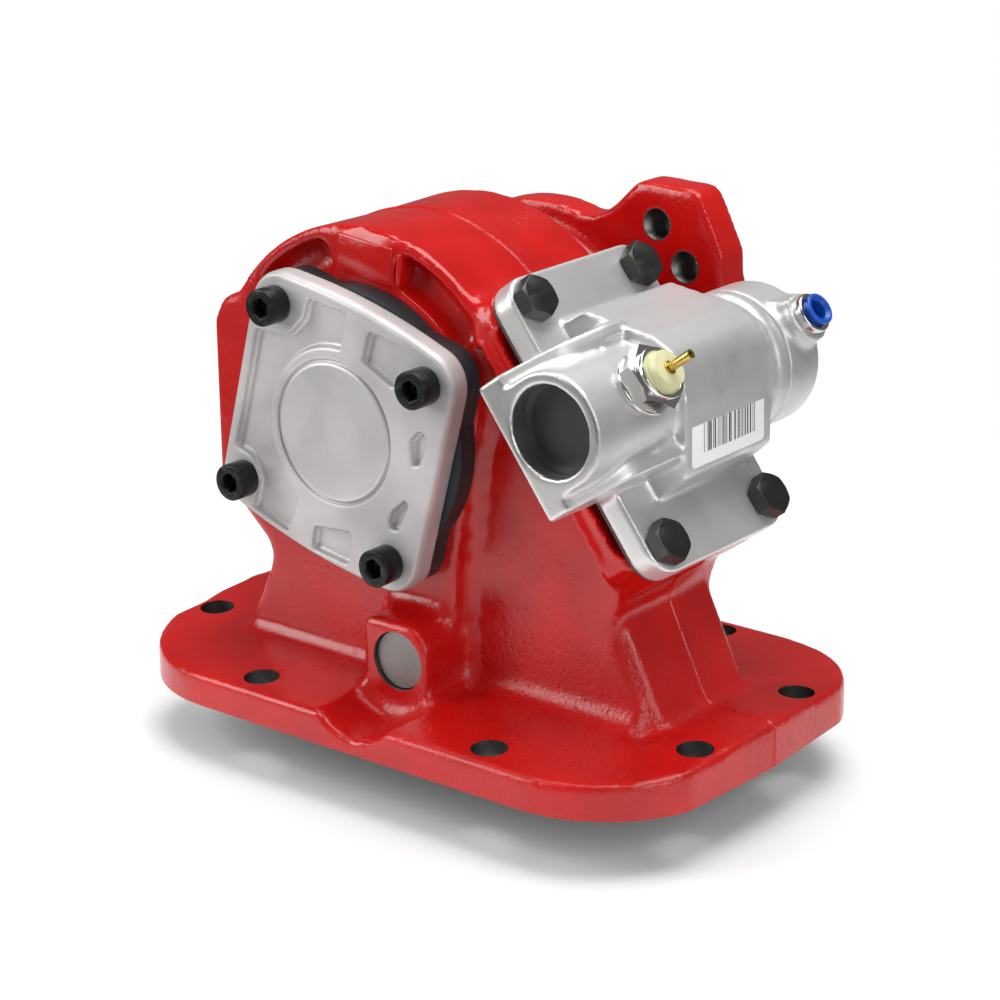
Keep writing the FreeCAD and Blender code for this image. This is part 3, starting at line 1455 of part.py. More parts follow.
write_parts([
    housing(), bearing_cap(), cap_shim(), cap_screws(), shift_cover(), cover_gasket(),
    cover_bolts(), tube_plug(), air_cylinder(), fitting_sleeve(), fitting_collet(),
    switch_body(), switch_insulator(), switch_terminal(), switch_ball(), shift_rod(),
    piston(), piston_seal(), return_spring(), shift_fork(), fork_pin(), output_shaft(),
    output_gear(), input_gear(), *bearings(), shaft_seal(), idler_shaft(), idler_rollers(),
    thrust_washers(),
])
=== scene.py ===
import math

import bmesh
import bpy
from mathutils import Matrix, Vector


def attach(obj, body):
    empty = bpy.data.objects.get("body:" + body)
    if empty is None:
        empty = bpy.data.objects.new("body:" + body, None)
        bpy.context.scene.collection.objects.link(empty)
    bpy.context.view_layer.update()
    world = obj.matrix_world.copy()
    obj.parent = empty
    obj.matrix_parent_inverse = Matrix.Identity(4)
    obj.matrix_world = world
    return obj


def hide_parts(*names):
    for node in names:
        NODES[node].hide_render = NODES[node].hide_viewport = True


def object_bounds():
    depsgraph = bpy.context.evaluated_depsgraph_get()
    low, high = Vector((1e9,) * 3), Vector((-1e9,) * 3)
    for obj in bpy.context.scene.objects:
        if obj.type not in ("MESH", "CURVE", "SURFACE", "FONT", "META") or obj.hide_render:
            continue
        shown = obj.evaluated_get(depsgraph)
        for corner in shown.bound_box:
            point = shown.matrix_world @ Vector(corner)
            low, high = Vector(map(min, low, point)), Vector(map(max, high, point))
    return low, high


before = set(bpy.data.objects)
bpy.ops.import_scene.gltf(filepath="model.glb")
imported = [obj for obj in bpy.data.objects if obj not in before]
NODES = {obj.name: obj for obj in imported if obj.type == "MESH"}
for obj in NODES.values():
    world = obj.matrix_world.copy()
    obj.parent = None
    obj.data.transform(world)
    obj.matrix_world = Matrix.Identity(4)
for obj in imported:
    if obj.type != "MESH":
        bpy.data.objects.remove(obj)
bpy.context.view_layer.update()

# Power take off unit: the looks of its red casting, bare die castings, black fasteners,
# plated switch and hose fitting. Metres, in the frame of the machined mounting face:
# X to the right, Y to the rear, Z up.

MM = 0.001
SCENE = bpy.context.scene


# Camera: its place in millimetres, its angles in degrees and its focal length

CAMERA_PLACE = Vector((541.0, -674.7, 357.8))
CAMERA_ACROSS, CAMERA_UP, CAMERA_ROLL = 38.58, 18.68, -0.52
FOCAL_LENGTH = 100.04


def add_camera():
    """The camera that sees the object from where the picture was taken."""
    data = bpy.data.cameras.new("camera")
    data.sensor_width = 36
    data.lens = FOCAL_LENGTH
    data.clip_start = 0.05
    data.clip_end = 20
    camera = bpy.data.objects.new("camera", data)
    across, up = math.radians(CAMERA_ACROSS), math.radians(CAMERA_UP)
    back = Vector((math.cos(up) * math.sin(across), -math.cos(up) * math.cos(across), math.sin(up)))
    right = Vector((math.cos(across), math.sin(across), 0))
    turn = Matrix((right, back.cross(right), back)).transposed()
    roll = Matrix.Rotation(math.radians(CAMERA_ROLL), 3, "Z")
    camera.matrix_world = Matrix.Translation(CAMERA_PLACE * MM) @ (turn @ roll).to_4x4()
    SCENE.collection.objects.link(camera)
    SCENE.camera = camera


add_camera()


# Places on the object in millimetres: its axes, and the frames of its inclined pieces

OUTPUT = Vector((-25.369, 0, 96.141))
IDLER = Vector((0, 0, 24.5))
FRONT, REAR = Vector((0, -1, 0)), Vector((0, 1, 0))
PAD = Matrix.Translation((54.8, 0, 104.6)) @ Matrix.Rotation(math.radians(53.6), 4, "Y")
TUBE = PAD @ Matrix.Translation((-1.2, 0, 17.5))
SWITCH = TUBE @ Matrix.Translation((0, -32, 17.5))
LUG = Matrix.Translation((-22.25, 0, 156.4)) @ Matrix.Rotation(math.radians(6.3), 4, "Y")
COVER_BOLTS = [(x, y) for x in (-42.1, 42.1) for y in (-27.4, 27.4)]
STUDS = ((100.9, 28.5), (47.8, 62.8))


def round_output(angle, reach):
    """A point round the output axis at an angle in degrees."""
    turn = math.radians(angle)
    return OUTPUT + Vector((math.cos(turn), 0, math.sin(turn))) * reach


# Sizes of the castings in millimetres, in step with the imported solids

CHAMBER_FRONT, CHAMBER_REAR = 20, 25
OUTPUT_CHAMBER, IDLER_CHAMBER = 52, 47
WINDOW = (-32, -20, -62), (22, 21, 0.2)
BEARING_BORE, SEAL_BORE = 31.02, 27
PILOT_RADIUS, PILOT_FLOOR = 50.8, 62
IDLER_BORE, IDLER_SUPPORT = 9.9, 17
STUD_HOLE = 5.95
EAR_HOLES = [round_output(angle, 73) for angle in (34.5, 48, 214.5, 228)]
EAR_HOLE = 5.6
THREAD_PITCH, THREAD_DEPTH = 1.75, 0.6
SEAM_HALF, SEAM_HEIGHT = 0.7, 0.45
PLUG = 1
CAP_FACE, CAP_RECESS, CAP_GROOVE = 49.5, 47.9, 48.7
CAP_TURN, CAP_SCREW_REACH = 15, 44.901
DISC_RADIUS = 23
COVER_SEAT = 9.1
TUBE_BORE, ROD_BORE, CYLINDER_BORE = 14.3, 7.03, 15.5
FITTING_ALONG, FITTING_BORE = 46.5, 6.62
SHANK_RADIUS = 3.97


# Shader maths as expressions

class Value:
    """A number socket, so that shader maths reads as arithmetic."""

    def __init__(self, paint, socket):
        self.paint, self.socket = paint, socket

    def _join(self, operation, first, second):
        return self.paint.value("ShaderNodeMath", {"operation": operation}, {0: first, 1: second})

    def __add__(self, other):
        return self._join("ADD", self, other)

    __radd__ = __add__

    def __sub__(self, other):
        return self._join("SUBTRACT", self, other)

    def __rsub__(self, other):
        return self._join("SUBTRACT", other, self)

    def __mul__(self, other):
        return self._join("MULTIPLY", self, other)

    __rmul__ = __mul__

    def __truediv__(self, other):
        return self._join("DIVIDE", self, other)

    def __rtruediv__(self, other):
        return self._join("DIVIDE", other, self)

    def power(self, other):
        return self._join("POWER", self, other)

    def above(self, other):
        return self._join("GREATER_THAN", self, other)

    def clamped(self):
        return self.paint.value("ShaderNodeClamp", {}, {"Value": self})

    def ramp(self, low, high, start=0.0, end=1.0):
        """Maps low..high smoothly to start..end and holds the ends."""
        return self.paint.value("ShaderNodeMapRange", {"interpolation_type": "SMOOTHSTEP"},
                                {"Value": self, "From Min": low, "From Max": high,
                                 "To Min": start, "To Max": end}, "Result")


class Paint:
    """One material's nodes, written as expressions."""

    def __init__(self, name, colour, metallic=0.0, roughness=0.5, specular=0.5):
        self.material = bpy.data.materials.new(name)
        self.material.use_nodes = True
        self.tree = self.material.node_tree
        self.shader = self.tree.nodes["Principled BSDF"]
        self.set("Base Color", (*colour, 1))
        self.set("Metallic", metallic)
        self.set("Roughness", roughness)
        self.set("Specular IOR Level", specular)
        self.place = self.node("ShaderNodeTexCoord", {}, {}).outputs["Object"]

    def node(self, kind, settings, inputs):
        """Adds a node: its settings first, then a value or a link for each socket."""
        made = self.tree.nodes.new(kind)
        for name, setting in settings.items():
            setattr(made, name, setting)
        for name, given in inputs.items():
            given = given.socket if isinstance(given, Value) else given
            if isinstance(given, bpy.types.NodeSocket):
                self.tree.links.new(given, made.inputs[name])
            else:
                made.inputs[name].default_value = given
        return made

    def value(self, kind, settings, inputs, output=0):
        """One output of a new node, ready for arithmetic."""
        return Value(self, self.node(kind, settings, inputs).outputs[output])

    def set(self, name, given):
        """Gives a socket of the surface a value or a link."""
        given = given.socket if isinstance(given, Value) else given
        if isinstance(given, bpy.types.NodeSocket):
            self.tree.links.new(given, self.shader.inputs[name])
        else:
            self.shader.inputs[name].default_value = given

    def noise(self, scale, detail=4.0, roughness=0.5, stretch=None):
        place = self.place
        if stretch:
            place = self.node("ShaderNodeMapping", {}, {"Vector": place, "Scale": stretch}).outputs[0]
        return self.value("ShaderNodeTexNoise", {},
                          {"Vector": place, "Scale": scale, "Detail": detail,
                           "Roughness": roughness}, "Fac")

    def cells(self, scale):
        return self.value("ShaderNodeTexVoronoi", {}, {"Vector": self.place, "Scale": scale},
                          "Distance")

    def axis(self, name):
        """The place along one axis of the object, in metres."""
        parts = self.node("ShaderNodeSeparateXYZ", {}, {"Vector": self.place})
        return Value(self, parts.outputs[name])

    def mix(self, factor, first, second):
        """Blends two colours."""
        def colour(given):
            return (*given, 1) if isinstance(given, tuple) and len(given) == 3 else given
        made = self.node("ShaderNodeMix", {"data_type": "RGBA"},
                         {"Factor": factor, 6: colour(first), 7: colour(second)})
        return made.outputs[2]

    def bump(self, *layers):
        """Stacks bumps from (height, distance in metres, strength)."""
        normal = None
        for height, distance, strength in layers:
            inputs = {"Height": height, "Distance": distance, "Strength": strength}
            if normal:
                inputs["Normal"] = normal
            normal = self.node("ShaderNodeBump", {}, inputs).outputs[0]
        self.set("Normal", normal)


def red_paint():
    """Gloss paint over sand-cast iron: grainy where it lies thin, smooth where it ran."""
    paint = Paint("red_paint", (0.6, 0.005, 0.004), roughness=0.22)
    patches = paint.noise(18, 3).ramp(0.4, 0.6)
    grain = paint.noise(750, 3, 0.6)
    pits = paint.cells(300).ramp(0.0, 0.35)
    sag = paint.noise(110, 2)
    low = paint.axis("Z").ramp(0.02, 0.075, 0.4, 0.0)
    rear = paint.axis("Y").ramp(-0.004, 0.004, 0.0, 0.25)
    rough = (patches * 0.6 + low + rear + 0.1).clamped()
    shade = paint.noise(40, 3).ramp(0.3, 0.7)
    paint.set("Base Color", paint.mix(shade, (0.4, 0.003, 0.0025), (0.5, 0.005, 0.004)))
    paint.set("Roughness", rough * 0.14 + 0.15)
    paint.bump((sag, 0.0006, 0.3), (grain * rough, 0.0004, 0.55), (pits * rough, 0.0003, 0.4))
    return paint.material


def die_cast(name, colour, metallic, roughness, grain):
    """Bare die-cast aluminium: a fine satin skin with faint flow marks and dull patches."""
    paint = Paint(name, colour, metallic=metallic, roughness=roughness)
    fine = paint.noise(2600, 3, 0.6)
    flow = paint.noise(55, 4, 0.55, (1, 0.35, 1))
    dull = paint.noise(28, 3).ramp(0.35, 0.7)
    darker = tuple(part * 0.72 for part in colour)
    paint.set("Base Color", paint.mix(dull, colour, darker))
    paint.set("Roughness", dull * 0.12 + flow * 0.1 + (roughness - 0.1))
    paint.bump((flow, 0.0006, 0.15), (fine, 0.00012, grain))
    return paint.material


def turned_face(name, colour, centre):
    """Turned aluminium with fine rings about an axis along Y."""
    paint = Paint(name, colour, metallic=0.7, roughness=0.4)
    across = paint.axis("X") - centre.x * MM
    up = paint.axis("Z") - centre.z * MM
    reach = (across * across + up * up).power(0.5)
    rings = paint.value("ShaderNodeTexNoise", {"noise_dimensions": "1D"},
                        {"W": reach * 5200, "Scale": 1.0, "Detail": 2.0}, "Fac")
    stain = paint.noise(45, 3).ramp(0.4, 0.7)
    paint.set("Base Color", paint.mix(stain, colour, tuple(part * 0.86 for part in colour)))
    paint.set("Roughness", rings * 0.18 + 0.32)
    paint.bump((rings, 0.00005, 0.35))
    return paint.material


def black_oxide():
    """Blackened steel, a little worn."""
    paint = Paint("black_oxide", (0.02, 0.02, 0.021), metallic=0.6, roughness=0.45)
    wear = paint.noise(300, 4).ramp(0.5, 0.8)
    paint.set("Base Color", paint.mix(wear, (0.014, 0.014, 0.015), (0.05, 0.05, 0.05)))
    paint.set("Roughness", wear * 0.15 + 0.34)
    paint.bump((paint.noise(1400, 2), 0.0001, 0.2))
    return paint.material


def steel(name, colour, roughness=0.3, stretch=(1, 40, 1)):
    """Ground or cut steel with fine tool marks."""
    paint = Paint(name, colour, metallic=1.0, roughness=roughness)
    marks = paint.noise(220, 3, 0.6, stretch)
    stain = paint.noise(60, 3).ramp(0.45, 0.75)
    darker = tuple(part * 0.75 for part in colour)
    paint.set("Base Color", paint.mix(stain, colour, darker))
    paint.set("Roughness", marks * 0.2 + (roughness - 0.08))
    paint.bump((marks, 0.00008, 0.25))
    return paint.material


def plain(name, colour, roughness, metallic=0.0):
    """A moulded or plated finish with a faint unevenness."""
    paint = Paint(name, colour, metallic=metallic, roughness=roughness)
    grain = paint.noise(900, 3)
    lighter = tuple(min(1, part * 1.12) for part in colour)
    paint.set("Base Color", paint.mix(paint.noise(90, 2).ramp(0.35, 0.7), colour, lighter))
    paint.set("Roughness", grain * 0.12 + (roughness - 0.06))
    paint.bump((grain, 0.00008, 0.25))
    return paint.material


RED = red_paint()
CAST = die_cast("die_cast", (0.74, 0.735, 0.73), 0.65, 0.38, 0.5)
CAP_CAST = die_cast("cap_die_cast", (0.6, 0.58, 0.575), 0.5, 0.5, 0.5)
CAP_DISC = turned_face("turned_disc", (0.64, 0.62, 0.615), OUTPUT)
MACHINED = steel("machined_aluminium", (0.72, 0.715, 0.7), 0.3, (40, 1, 1))
BOLT = steel("phosphated_bolt", (0.1, 0.1, 0.098), 0.42, (1, 1, 1))
BLACK = black_oxide()
GROUND = steel("ground_steel", (0.55, 0.55, 0.56), 0.22)
CUT = steel("cut_steel", (0.42, 0.42, 0.42), 0.36, (1, 1, 30))
BORE = steel("bored_iron", (0.2, 0.195, 0.19), 0.4, (1, 30, 1))
FINISHES = {
    "housing": RED,
    "bearing_cap": CAST, "shift_cover": CAST, "air_cylinder": CAST,
    "cap_shim": plain("dark_shim", (0.012, 0.022, 0.025), 0.4),
    "cover_gasket": plain("gasket_sheet", (0.06, 0.055, 0.05), 0.7),
    "cap_screws": BLACK, "cover_bolts": BOLT,
    "tube_plug": plain("dark_plug", (0.026, 0.023, 0.022), 0.45),
    "fitting_sleeve": plain("nickel", (0.62, 0.61, 0.6), 0.2, 1.0),
    "fitting_collet": plain("blue_plastic", (0.005, 0.07, 0.42), 0.3),
    "switch_body": plain("bright_plating", (0.78, 0.77, 0.75), 0.13, 1.0),
    "switch_insulator": plain("ivory_plastic", (0.58, 0.58, 0.33), 0.4),
    "switch_terminal": plain("brass", (0.6, 0.42, 0.12), 0.28, 1.0),
    "piston": steel("turned_aluminium", (0.6, 0.6, 0.61), 0.3),
    "piston_seal": plain("seal_rubber", (0.02, 0.02, 0.02), 0.6),
    "shaft_seal": plain("brown_rubber", (0.035, 0.02, 0.014), 0.55),
    "return_spring": steel("spring_wire", (0.3, 0.3, 0.31), 0.3),
    "shift_fork": plain("plain_casting", (0.16, 0.155, 0.15), 0.6, 0.4),
    "idler_shaft": steel("dull_shaft", (0.3, 0.3, 0.29), 0.5, (1, 1, 1)),
    "input_gear": CUT, "output_gear": CUT, "output_shaft": CUT,
}


def finish_nodes():
    """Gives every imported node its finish."""
    for name, node in NODES.items():
        material = FINISHES.get(name, GROUND)
        for slot in node.material_slots:
            slot.material = material


finish_nodes()


# Mesh work in millimetres

def packed_copy(node):
    """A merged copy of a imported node's mesh."""
    mesh = bmesh.new()
    mesh.from_mesh(NODES[node].data)
    bmesh.ops.scale(mesh, vec=(1 / MM,) * 3, verts=mesh.verts)
    bmesh.ops.remove_doubles(mesh, verts=mesh.verts, dist=0.001)
    return mesh


def add_bar(mesh, start, end, radius, end_radius=None, segments=72, place=Matrix()):
    """A round bar between two points of a frame, with an optional taper."""
    start, end = place @ Vector(start), place @ Vector(end)
    way = end - start
    place = Matrix.Translation((start + end) / 2) @ way.to_track_quat("Z", "Y").to_matrix().to_4x4()
    far = radius if end_radius is None else end_radius
    bmesh.ops.create_cone(mesh, cap_ends=True, segments=segments, radius1=radius, radius2=far,
                          depth=way.length, matrix=place)


def add_block(mesh, low, high, place=Matrix()):
    """A rectangular block between two corners of a frame."""
    low, high = Vector(low), Vector(high)
    bmesh.ops.create_cube(mesh, size=1, matrix=place @ Matrix.Translation((low + high) / 2)
                          @ Matrix.Diagonal((*(high - low), 1)))


def tool(builder, *given, **named):
    """A mesh that holds one bar or block."""
    mesh = bmesh.new()
    builder(mesh, *given, **named)
    return mesh


def as_object(mesh, name):
    """A new object that takes over a mesh."""
    data = bpy.data.meshes.new(name)
    mesh.to_mesh(data)
    mesh.free()
    made = bpy.data.objects.new(name, data)
    SCENE.collection.objects.link(made)
    return made


def changed(mesh, steps):
    """The mesh after a list of modifiers, each a kind and its settings."""
    work = as_object(mesh, "work")
    for kind, settings in steps:
        modifier = work.modifiers.new(kind, kind)
        for name, given in settings.items():
            setattr(modifier, name, given)
    made = bmesh.new()
    made.from_object(work, bpy.context.evaluated_depsgraph_get())
    bpy.data.objects.remove(work)
    return made


def carved(mesh, cuts, operation="DIFFERENCE"):
    """The mesh after one boolean for each tool."""
    tools = [as_object(cut, "tool") for cut in cuts]
    made = changed(mesh, [("BOOLEAN", {"operation": operation, "solver": "MANIFOLD", "object": each})
                          for each in tools])
    for each in tools:
        bpy.data.objects.remove(each)
    return made


def bevelled(mesh, width, segments=3):
    """The mesh with its sharp edges rounded."""
    return changed(mesh, [("BEVEL", {"width": width, "segments": segments,
                                     "limit_method": "ANGLE", "angle_limit": math.radians(28)})])


def gathered(meshes):
    """One mesh that holds several, each still its own shell."""
    made = bmesh.new()
    for mesh in meshes:
        data = bpy.data.meshes.new("part")
        mesh.to_mesh(data)
        mesh.free()
        made.from_mesh(data)
    return made


def extruded(mesh, faces, way):
    """Draws faces out along a way, with walls behind them."""
    made = bmesh.ops.extrude_face_region(mesh, geom=faces)["geom"]
    moved = [part for part in made if isinstance(part, bmesh.types.BMVert)]
    bmesh.ops.translate(mesh, vec=way, verts=moved)


def foundry(mesh, voxel, fillet, softness):
    """Joins overlapping forms into one skin with filled inner corners and soft outer ones."""
    skin = ("REMESH", {"mode": "VOXEL", "voxel_size": voxel})
    for step in (fillet, -fillet):
        mesh = changed(mesh, [skin])
        mesh.normal_update()
        moved = [vert.co + vert.normal * step for vert in mesh.verts]
        for vert, place in zip(mesh.verts, moved):
            vert.co = place
    return changed(mesh, [skin, ("SMOOTH", {"factor": 0.5, "iterations": softness})])


def thinned(mesh, target):
    """The mesh with its flat stretches simplified to at most so many triangles."""
    bmesh.ops.triangulate(mesh, faces=mesh.faces)
    share = target / len(mesh.faces)
    return changed(mesh, [("DECIMATE", {"ratio": share})]) if share < 1 else mesh


def add_piece(name, mesh, finishes, body="housing", replaced=(), crease=40):
    """Hands over a mesh in millimetres as a piece that rides on its body."""
    bmesh.ops.remove_doubles(mesh, verts=mesh.verts, dist=0.0005)
    bmesh.ops.recalc_face_normals(mesh, faces=mesh.faces)
    bmesh.ops.scale(mesh, vec=(MM,) * 3, verts=mesh.verts)
    piece = as_object(mesh, name)
    for finish in finishes:
        piece.data.materials.append(finish)
    piece.data.shade_smooth()
    piece.data.set_sharp_from_angle(angle=math.radians(crease))
    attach(piece, body)
    if replaced:
        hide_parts(*replaced)
    return piece


def mark(mesh, index, test):
    """Gives the faces that pass a test the finish at an index of the piece's list."""
    mesh.normal_update()
    for face in mesh.faces:
        if test(face.calc_center_median(), face.normal):
            face.material_index = index


# The red casting

def stud_spots():
    """The places of the flange's eight stud holes."""
    return [(a * x, b * y) for x, y in STUDS for a in (-1, 1) for b in (-1, 1)]


def across_casting(axis, front, rear, radius, segments=72):
    """A round tool about an axis, from one distance before the parting plane to one behind."""
    return tool(add_bar, axis + FRONT * front, axis + REAR * rear, radius, segments=segments)


def chamber_tools():
    """The spaces round the gears and under the shift cover."""
    return [across_casting(OUTPUT, CHAMBER_FRONT, CHAMBER_REAR, OUTPUT_CHAMBER),
            across_casting(IDLER, CHAMBER_FRONT, CHAMBER_REAR, IDLER_CHAMBER),
            tool(add_block, (-IDLER_CHAMBER, -CHAMBER_FRONT, -24),
                 (IDLER_CHAMBER, CHAMBER_REAR, IDLER.z)),
            tool(add_block, *WINDOW, PAD)]


def bore_tools():
    """The bearing bores, the pump's pilot recess and the idler's bore."""
    return [across_casting(OUTPUT, 47, -19, BEARING_BORE, 96),
            across_casting(OUTPUT, -38, 80, BEARING_BORE, 96),
            across_casting(OUTPUT, -24, 39, SEAL_BORE, 96),
            across_casting(OUTPUT, -PILOT_FLOOR, 80, PILOT_RADIUS, 128),
            across_casting(IDLER, 60, 22.5, IDLER_BORE)]


def hole_tools():
    """The flange's stud holes and the pump ears' tapped ones."""
    mesh = bmesh.new()
    for x, y in stud_spots():
        add_bar(mesh, (x, y, -5), (x, y, 30), STUD_HOLE, segments=48)
    return [mesh] + [thread_tool(centre) for centre in EAR_HOLES]


def thread_tool(centre):
    """A tapped hole's inside: rings whose flanks follow the thread's pitch."""
    mesh = bmesh.new()
    along, end = 55.0, 74
    root, crest = Vector((EAR_HOLE, 0, 0)), Vector((EAR_HOLE - THREAD_DEPTH, 0, 0))
    corners = [mesh.verts.new(centre + REAR * along)]
    while along < end:
        corners.append(mesh.verts.new(centre + REAR * along + root))
        corners.append(mesh.verts.new(centre + REAR * (along + THREAD_PITCH / 2) + crest))
        along += THREAD_PITCH
    corners.append(mesh.verts.new(centre + REAR * along))
    edges = [mesh.edges.new(pair) for pair in zip(corners, corners[1:])]
    bmesh.ops.spin(mesh, geom=corners + edges, cent=centre, axis=REAR, steps=40,
                   angle=math.tau, use_merge=True)
    bmesh.ops.remove_doubles(mesh, verts=mesh.verts, dist=0.001)
    bmesh.ops.recalc_face_normals(mesh, faces=mesh.faces)
    return mesh


def plug_holes(mesh):
    """Fills the machined holes and the chamber, which are cut again after the fillets."""
    for x, y in stud_spots():
        add_bar(mesh, (x, y, -3), (x, y, 14.6 - 0.054 * abs(y)), 6.4, segments=32)
    for centre in EAR_HOLES:
        add_bar(mesh, centre + REAR * 58, centre + REAR * 72, 6, segments=32)
    for x, y in COVER_BOLTS:
        add_bar(mesh, (x, y, -12.4), (x, y, 0), 5, segments=32, place=PAD)
    front, rear = CHAMBER_FRONT + PLUG, CHAMBER_REAR + PLUG
    add_bar(mesh, OUTPUT + FRONT * front, OUTPUT + REAR * rear, OUTPUT_CHAMBER + PLUG)
    add_bar(mesh, OUTPUT + FRONT * 34.5, OUTPUT + REAR * 71, 33)
    add_bar(mesh, OUTPUT + REAR * (PILOT_FLOOR - PLUG), OUTPUT + REAR * 72, 52.4)
    add_bar(mesh, IDLER + FRONT * 50, IDLER + REAR * rear, 10)
    add_bar(mesh, IDLER + FRONT * front, IDLER + REAR * rear, IDLER_CHAMBER + PLUG)
    half = IDLER_CHAMBER + PLUG
    add_block(mesh, (-half, -front, -3), (half, rear, IDLER.z))
    add_block(mesh, (-33, -21, -63), (23, 22, 0), PAD)


def add_skirt(mesh):
    """Carries the flange a little below its face, so that the face can be cut clean."""
    low = [face for face in mesh.faces
           if face.normal.z < -0.9 and face.calc_center_median().z < 0.01]
    extruded(mesh, low, (0, 0, -4))


def outside(spot):
    """Whether a point on the parting plane lies on the casting's outer skin."""
    place = PAD.inverted() @ spot
    in_window = -34 < place.x < 24 and place.z < 0.5
    in_mouth = abs(spot.x) < 49 and spot.z < 26
    at_gears = ((spot - OUTPUT).length < OUTPUT_CHAMBER + 2
                or (spot - IDLER).length < IDLER_CHAMBER + 2)
    return not (in_window or in_mouth or at_gears or spot.z < 0.5)


def raise_seam(mesh):
    """The low ridge that the two halves of the mould leave on the parting plane."""
    for along in (-SEAM_HALF, 0, SEAM_HALF):
        bmesh.ops.bisect_plane(mesh, geom=[*mesh.verts, *mesh.edges, *mesh.faces], dist=0.002,
                               plane_co=(0, along, 0), plane_no=(0, 1, 0))
    mesh.normal_update()
    crest = [vert for vert in mesh.verts if abs(vert.co.y) < 0.003 and outside(vert.co)]
    moved = [vert.co + Vector((vert.normal.x, 0, vert.normal.z)).normalized() * SEAM_HEIGHT
             for vert in crest]
    for vert, place in zip(crest, moved):
        vert.co = place


def lug_forms():
    """The crisp lug on the barrel's front rim and the narrow rib at its side."""
    lug = tool(add_block, (-11.2, -35.7, -12.6), (11.2, -26, 0), LUG)
    rib = tool(add_block, (12.8, -35.1, -12), (14.8, -26, -1.2), LUG)
    return [bevelled(lug, 0.7), bevelled(rib, 0.6)]


def cut_faces():
    """Everything under the mounting face, and above the cover's seat on the pad."""
    return [tool(add_block, (-140, -100, -30), (140, 100, 0)),
            tool(add_block, (-52, -36.5, 0), (52, 36.5, 8), PAD)]


def idler_supports():
    """The bosses inside the chamber that carry the idler's shaft."""
    return [across_casting(IDLER, 24, -13.2, IDLER_SUPPORT),
            across_casting(IDLER, -4.2, 29, IDLER_SUPPORT)]


def housing_casting():
    """The gear case: cast fillets first, then every space, bore and hole cut clean."""
    mesh = packed_copy("housing")
    add_skirt(mesh)
    plug_holes(mesh)
    mesh = foundry(mesh, voxel=1.25, fillet=3.0, softness=2)
    mesh = carved(mesh, chamber_tools() + cut_faces())
    mesh = carved(mesh, idler_supports() + lug_forms(), "UNION")
    mesh = carved(mesh, bore_tools() + hole_tools())
    mesh = thinned(mesh, target=180000)
    raise_seam(mesh)
    mark(mesh, 1, bare_iron)
    add_piece("housing_casting", mesh, [RED, BORE], replaced=["housing"], crease=35)


def bare_iron(spot, normal):
    """Whether a face of the casting is machined and so left without paint."""
    return (machined_face(spot, normal) or bare_hole(spot, normal)
            or bare_bore(spot, normal, OUTPUT, PILOT_RADIUS, 60, 80)
            or bare_bore(spot, normal, OUTPUT, 31, 30, 80)
            or bare_bore(spot, normal, IDLER, IDLER_BORE, -60, -30))


def bare_bore(spot, normal, centre, radius, low, high):
    """Whether a face lies on the wall of a bore about an axis along Y."""
    away = Vector((spot.x - centre.x, 0, spot.z - centre.z))
    return low < spot.y < high and away.length < radius + 0.3 and abs(normal.y) < 0.5


def bare_hole(spot, normal):
    """Whether a face lies on the wall of a stud hole, which is drilled after painting."""
    return spot.z < 16 and abs(normal.z) < 0.6 and any(
        math.hypot(abs(spot.x) - x, abs(spot.y) - y) < 6.3 for x, y in STUDS)


def machined_face(spot, normal):
    """The mounting face, and the pump flange's face, pilot floor and tapped holes."""
    tapped = any(math.hypot(spot.x - centre.x, spot.z - centre.z) < EAR_HOLE + 0.15
                 for centre in EAR_HOLES)
    pilot_floor = normal.y > 0.9 and abs(spot.y - PILOT_FLOOR) < 0.5
    pump_side = spot.z > 20 and (spot.y > 71.6 or pilot_floor)
    return spot.z < 0.02 or pump_side or spot.y > 57.5 and tapped


housing_casting()


# The bare die castings

def groove_tool():
    """The ring groove round the cap's disc, as a form that cuts it deeper and keeps it crisp."""
    mesh = packed_copy("bearing_cap")
    mesh.normal_update()
    rest = [face for face in mesh.faces
            if face.normal.y > -0.9 or abs(face.calc_center_median().y + CAP_GROOVE) > 0.01]
    bmesh.ops.delete(mesh, geom=rest, context="FACES")
    bmesh.ops.translate(mesh, vec=REAR * 0.3, verts=mesh.verts)
    extruded(mesh, mesh.faces[:], FRONT * 4)
    bmesh.ops.recalc_face_normals(mesh, faces=mesh.faces)
    return mesh


def turned(spot, normal):
    """Whether a face belongs to the cap's turned disc."""
    on_face = -CAP_FACE - 0.3 < spot.y < -CAP_FACE + 0.5
    on_disc = (spot - OUTPUT - FRONT * CAP_FACE).length < DISC_RADIUS
    return normal.y < -0.95 and on_face and on_disc


def cap_casting():
    """The cap with its cast recesses made a little deeper, and its turned disc."""
    mesh = packed_copy("bearing_cap")
    floor = [vert for vert in mesh.verts if abs(vert.co.y + CAP_RECESS) < 0.01]
    bmesh.ops.translate(mesh, vec=REAR * 0.9, verts=floor)
    mesh = foundry(mesh, voxel=0.42, fillet=0.4, softness=1)
    mesh = thinned(mesh, target=150000)
    mesh = carved(mesh, [groove_tool()])
    mark(mesh, 1, turned)
    add_piece("cap_casting", mesh, [CAP_CAST, CAP_DISC], replaced=["bearing_cap"], crease=50)


def along_tube(start, end, radius, segments=72):
    """A round tool about the tube's axis."""
    return tool(add_bar, (0, start, 0), (0, end, 0), radius, place=TUBE, segments=segments)


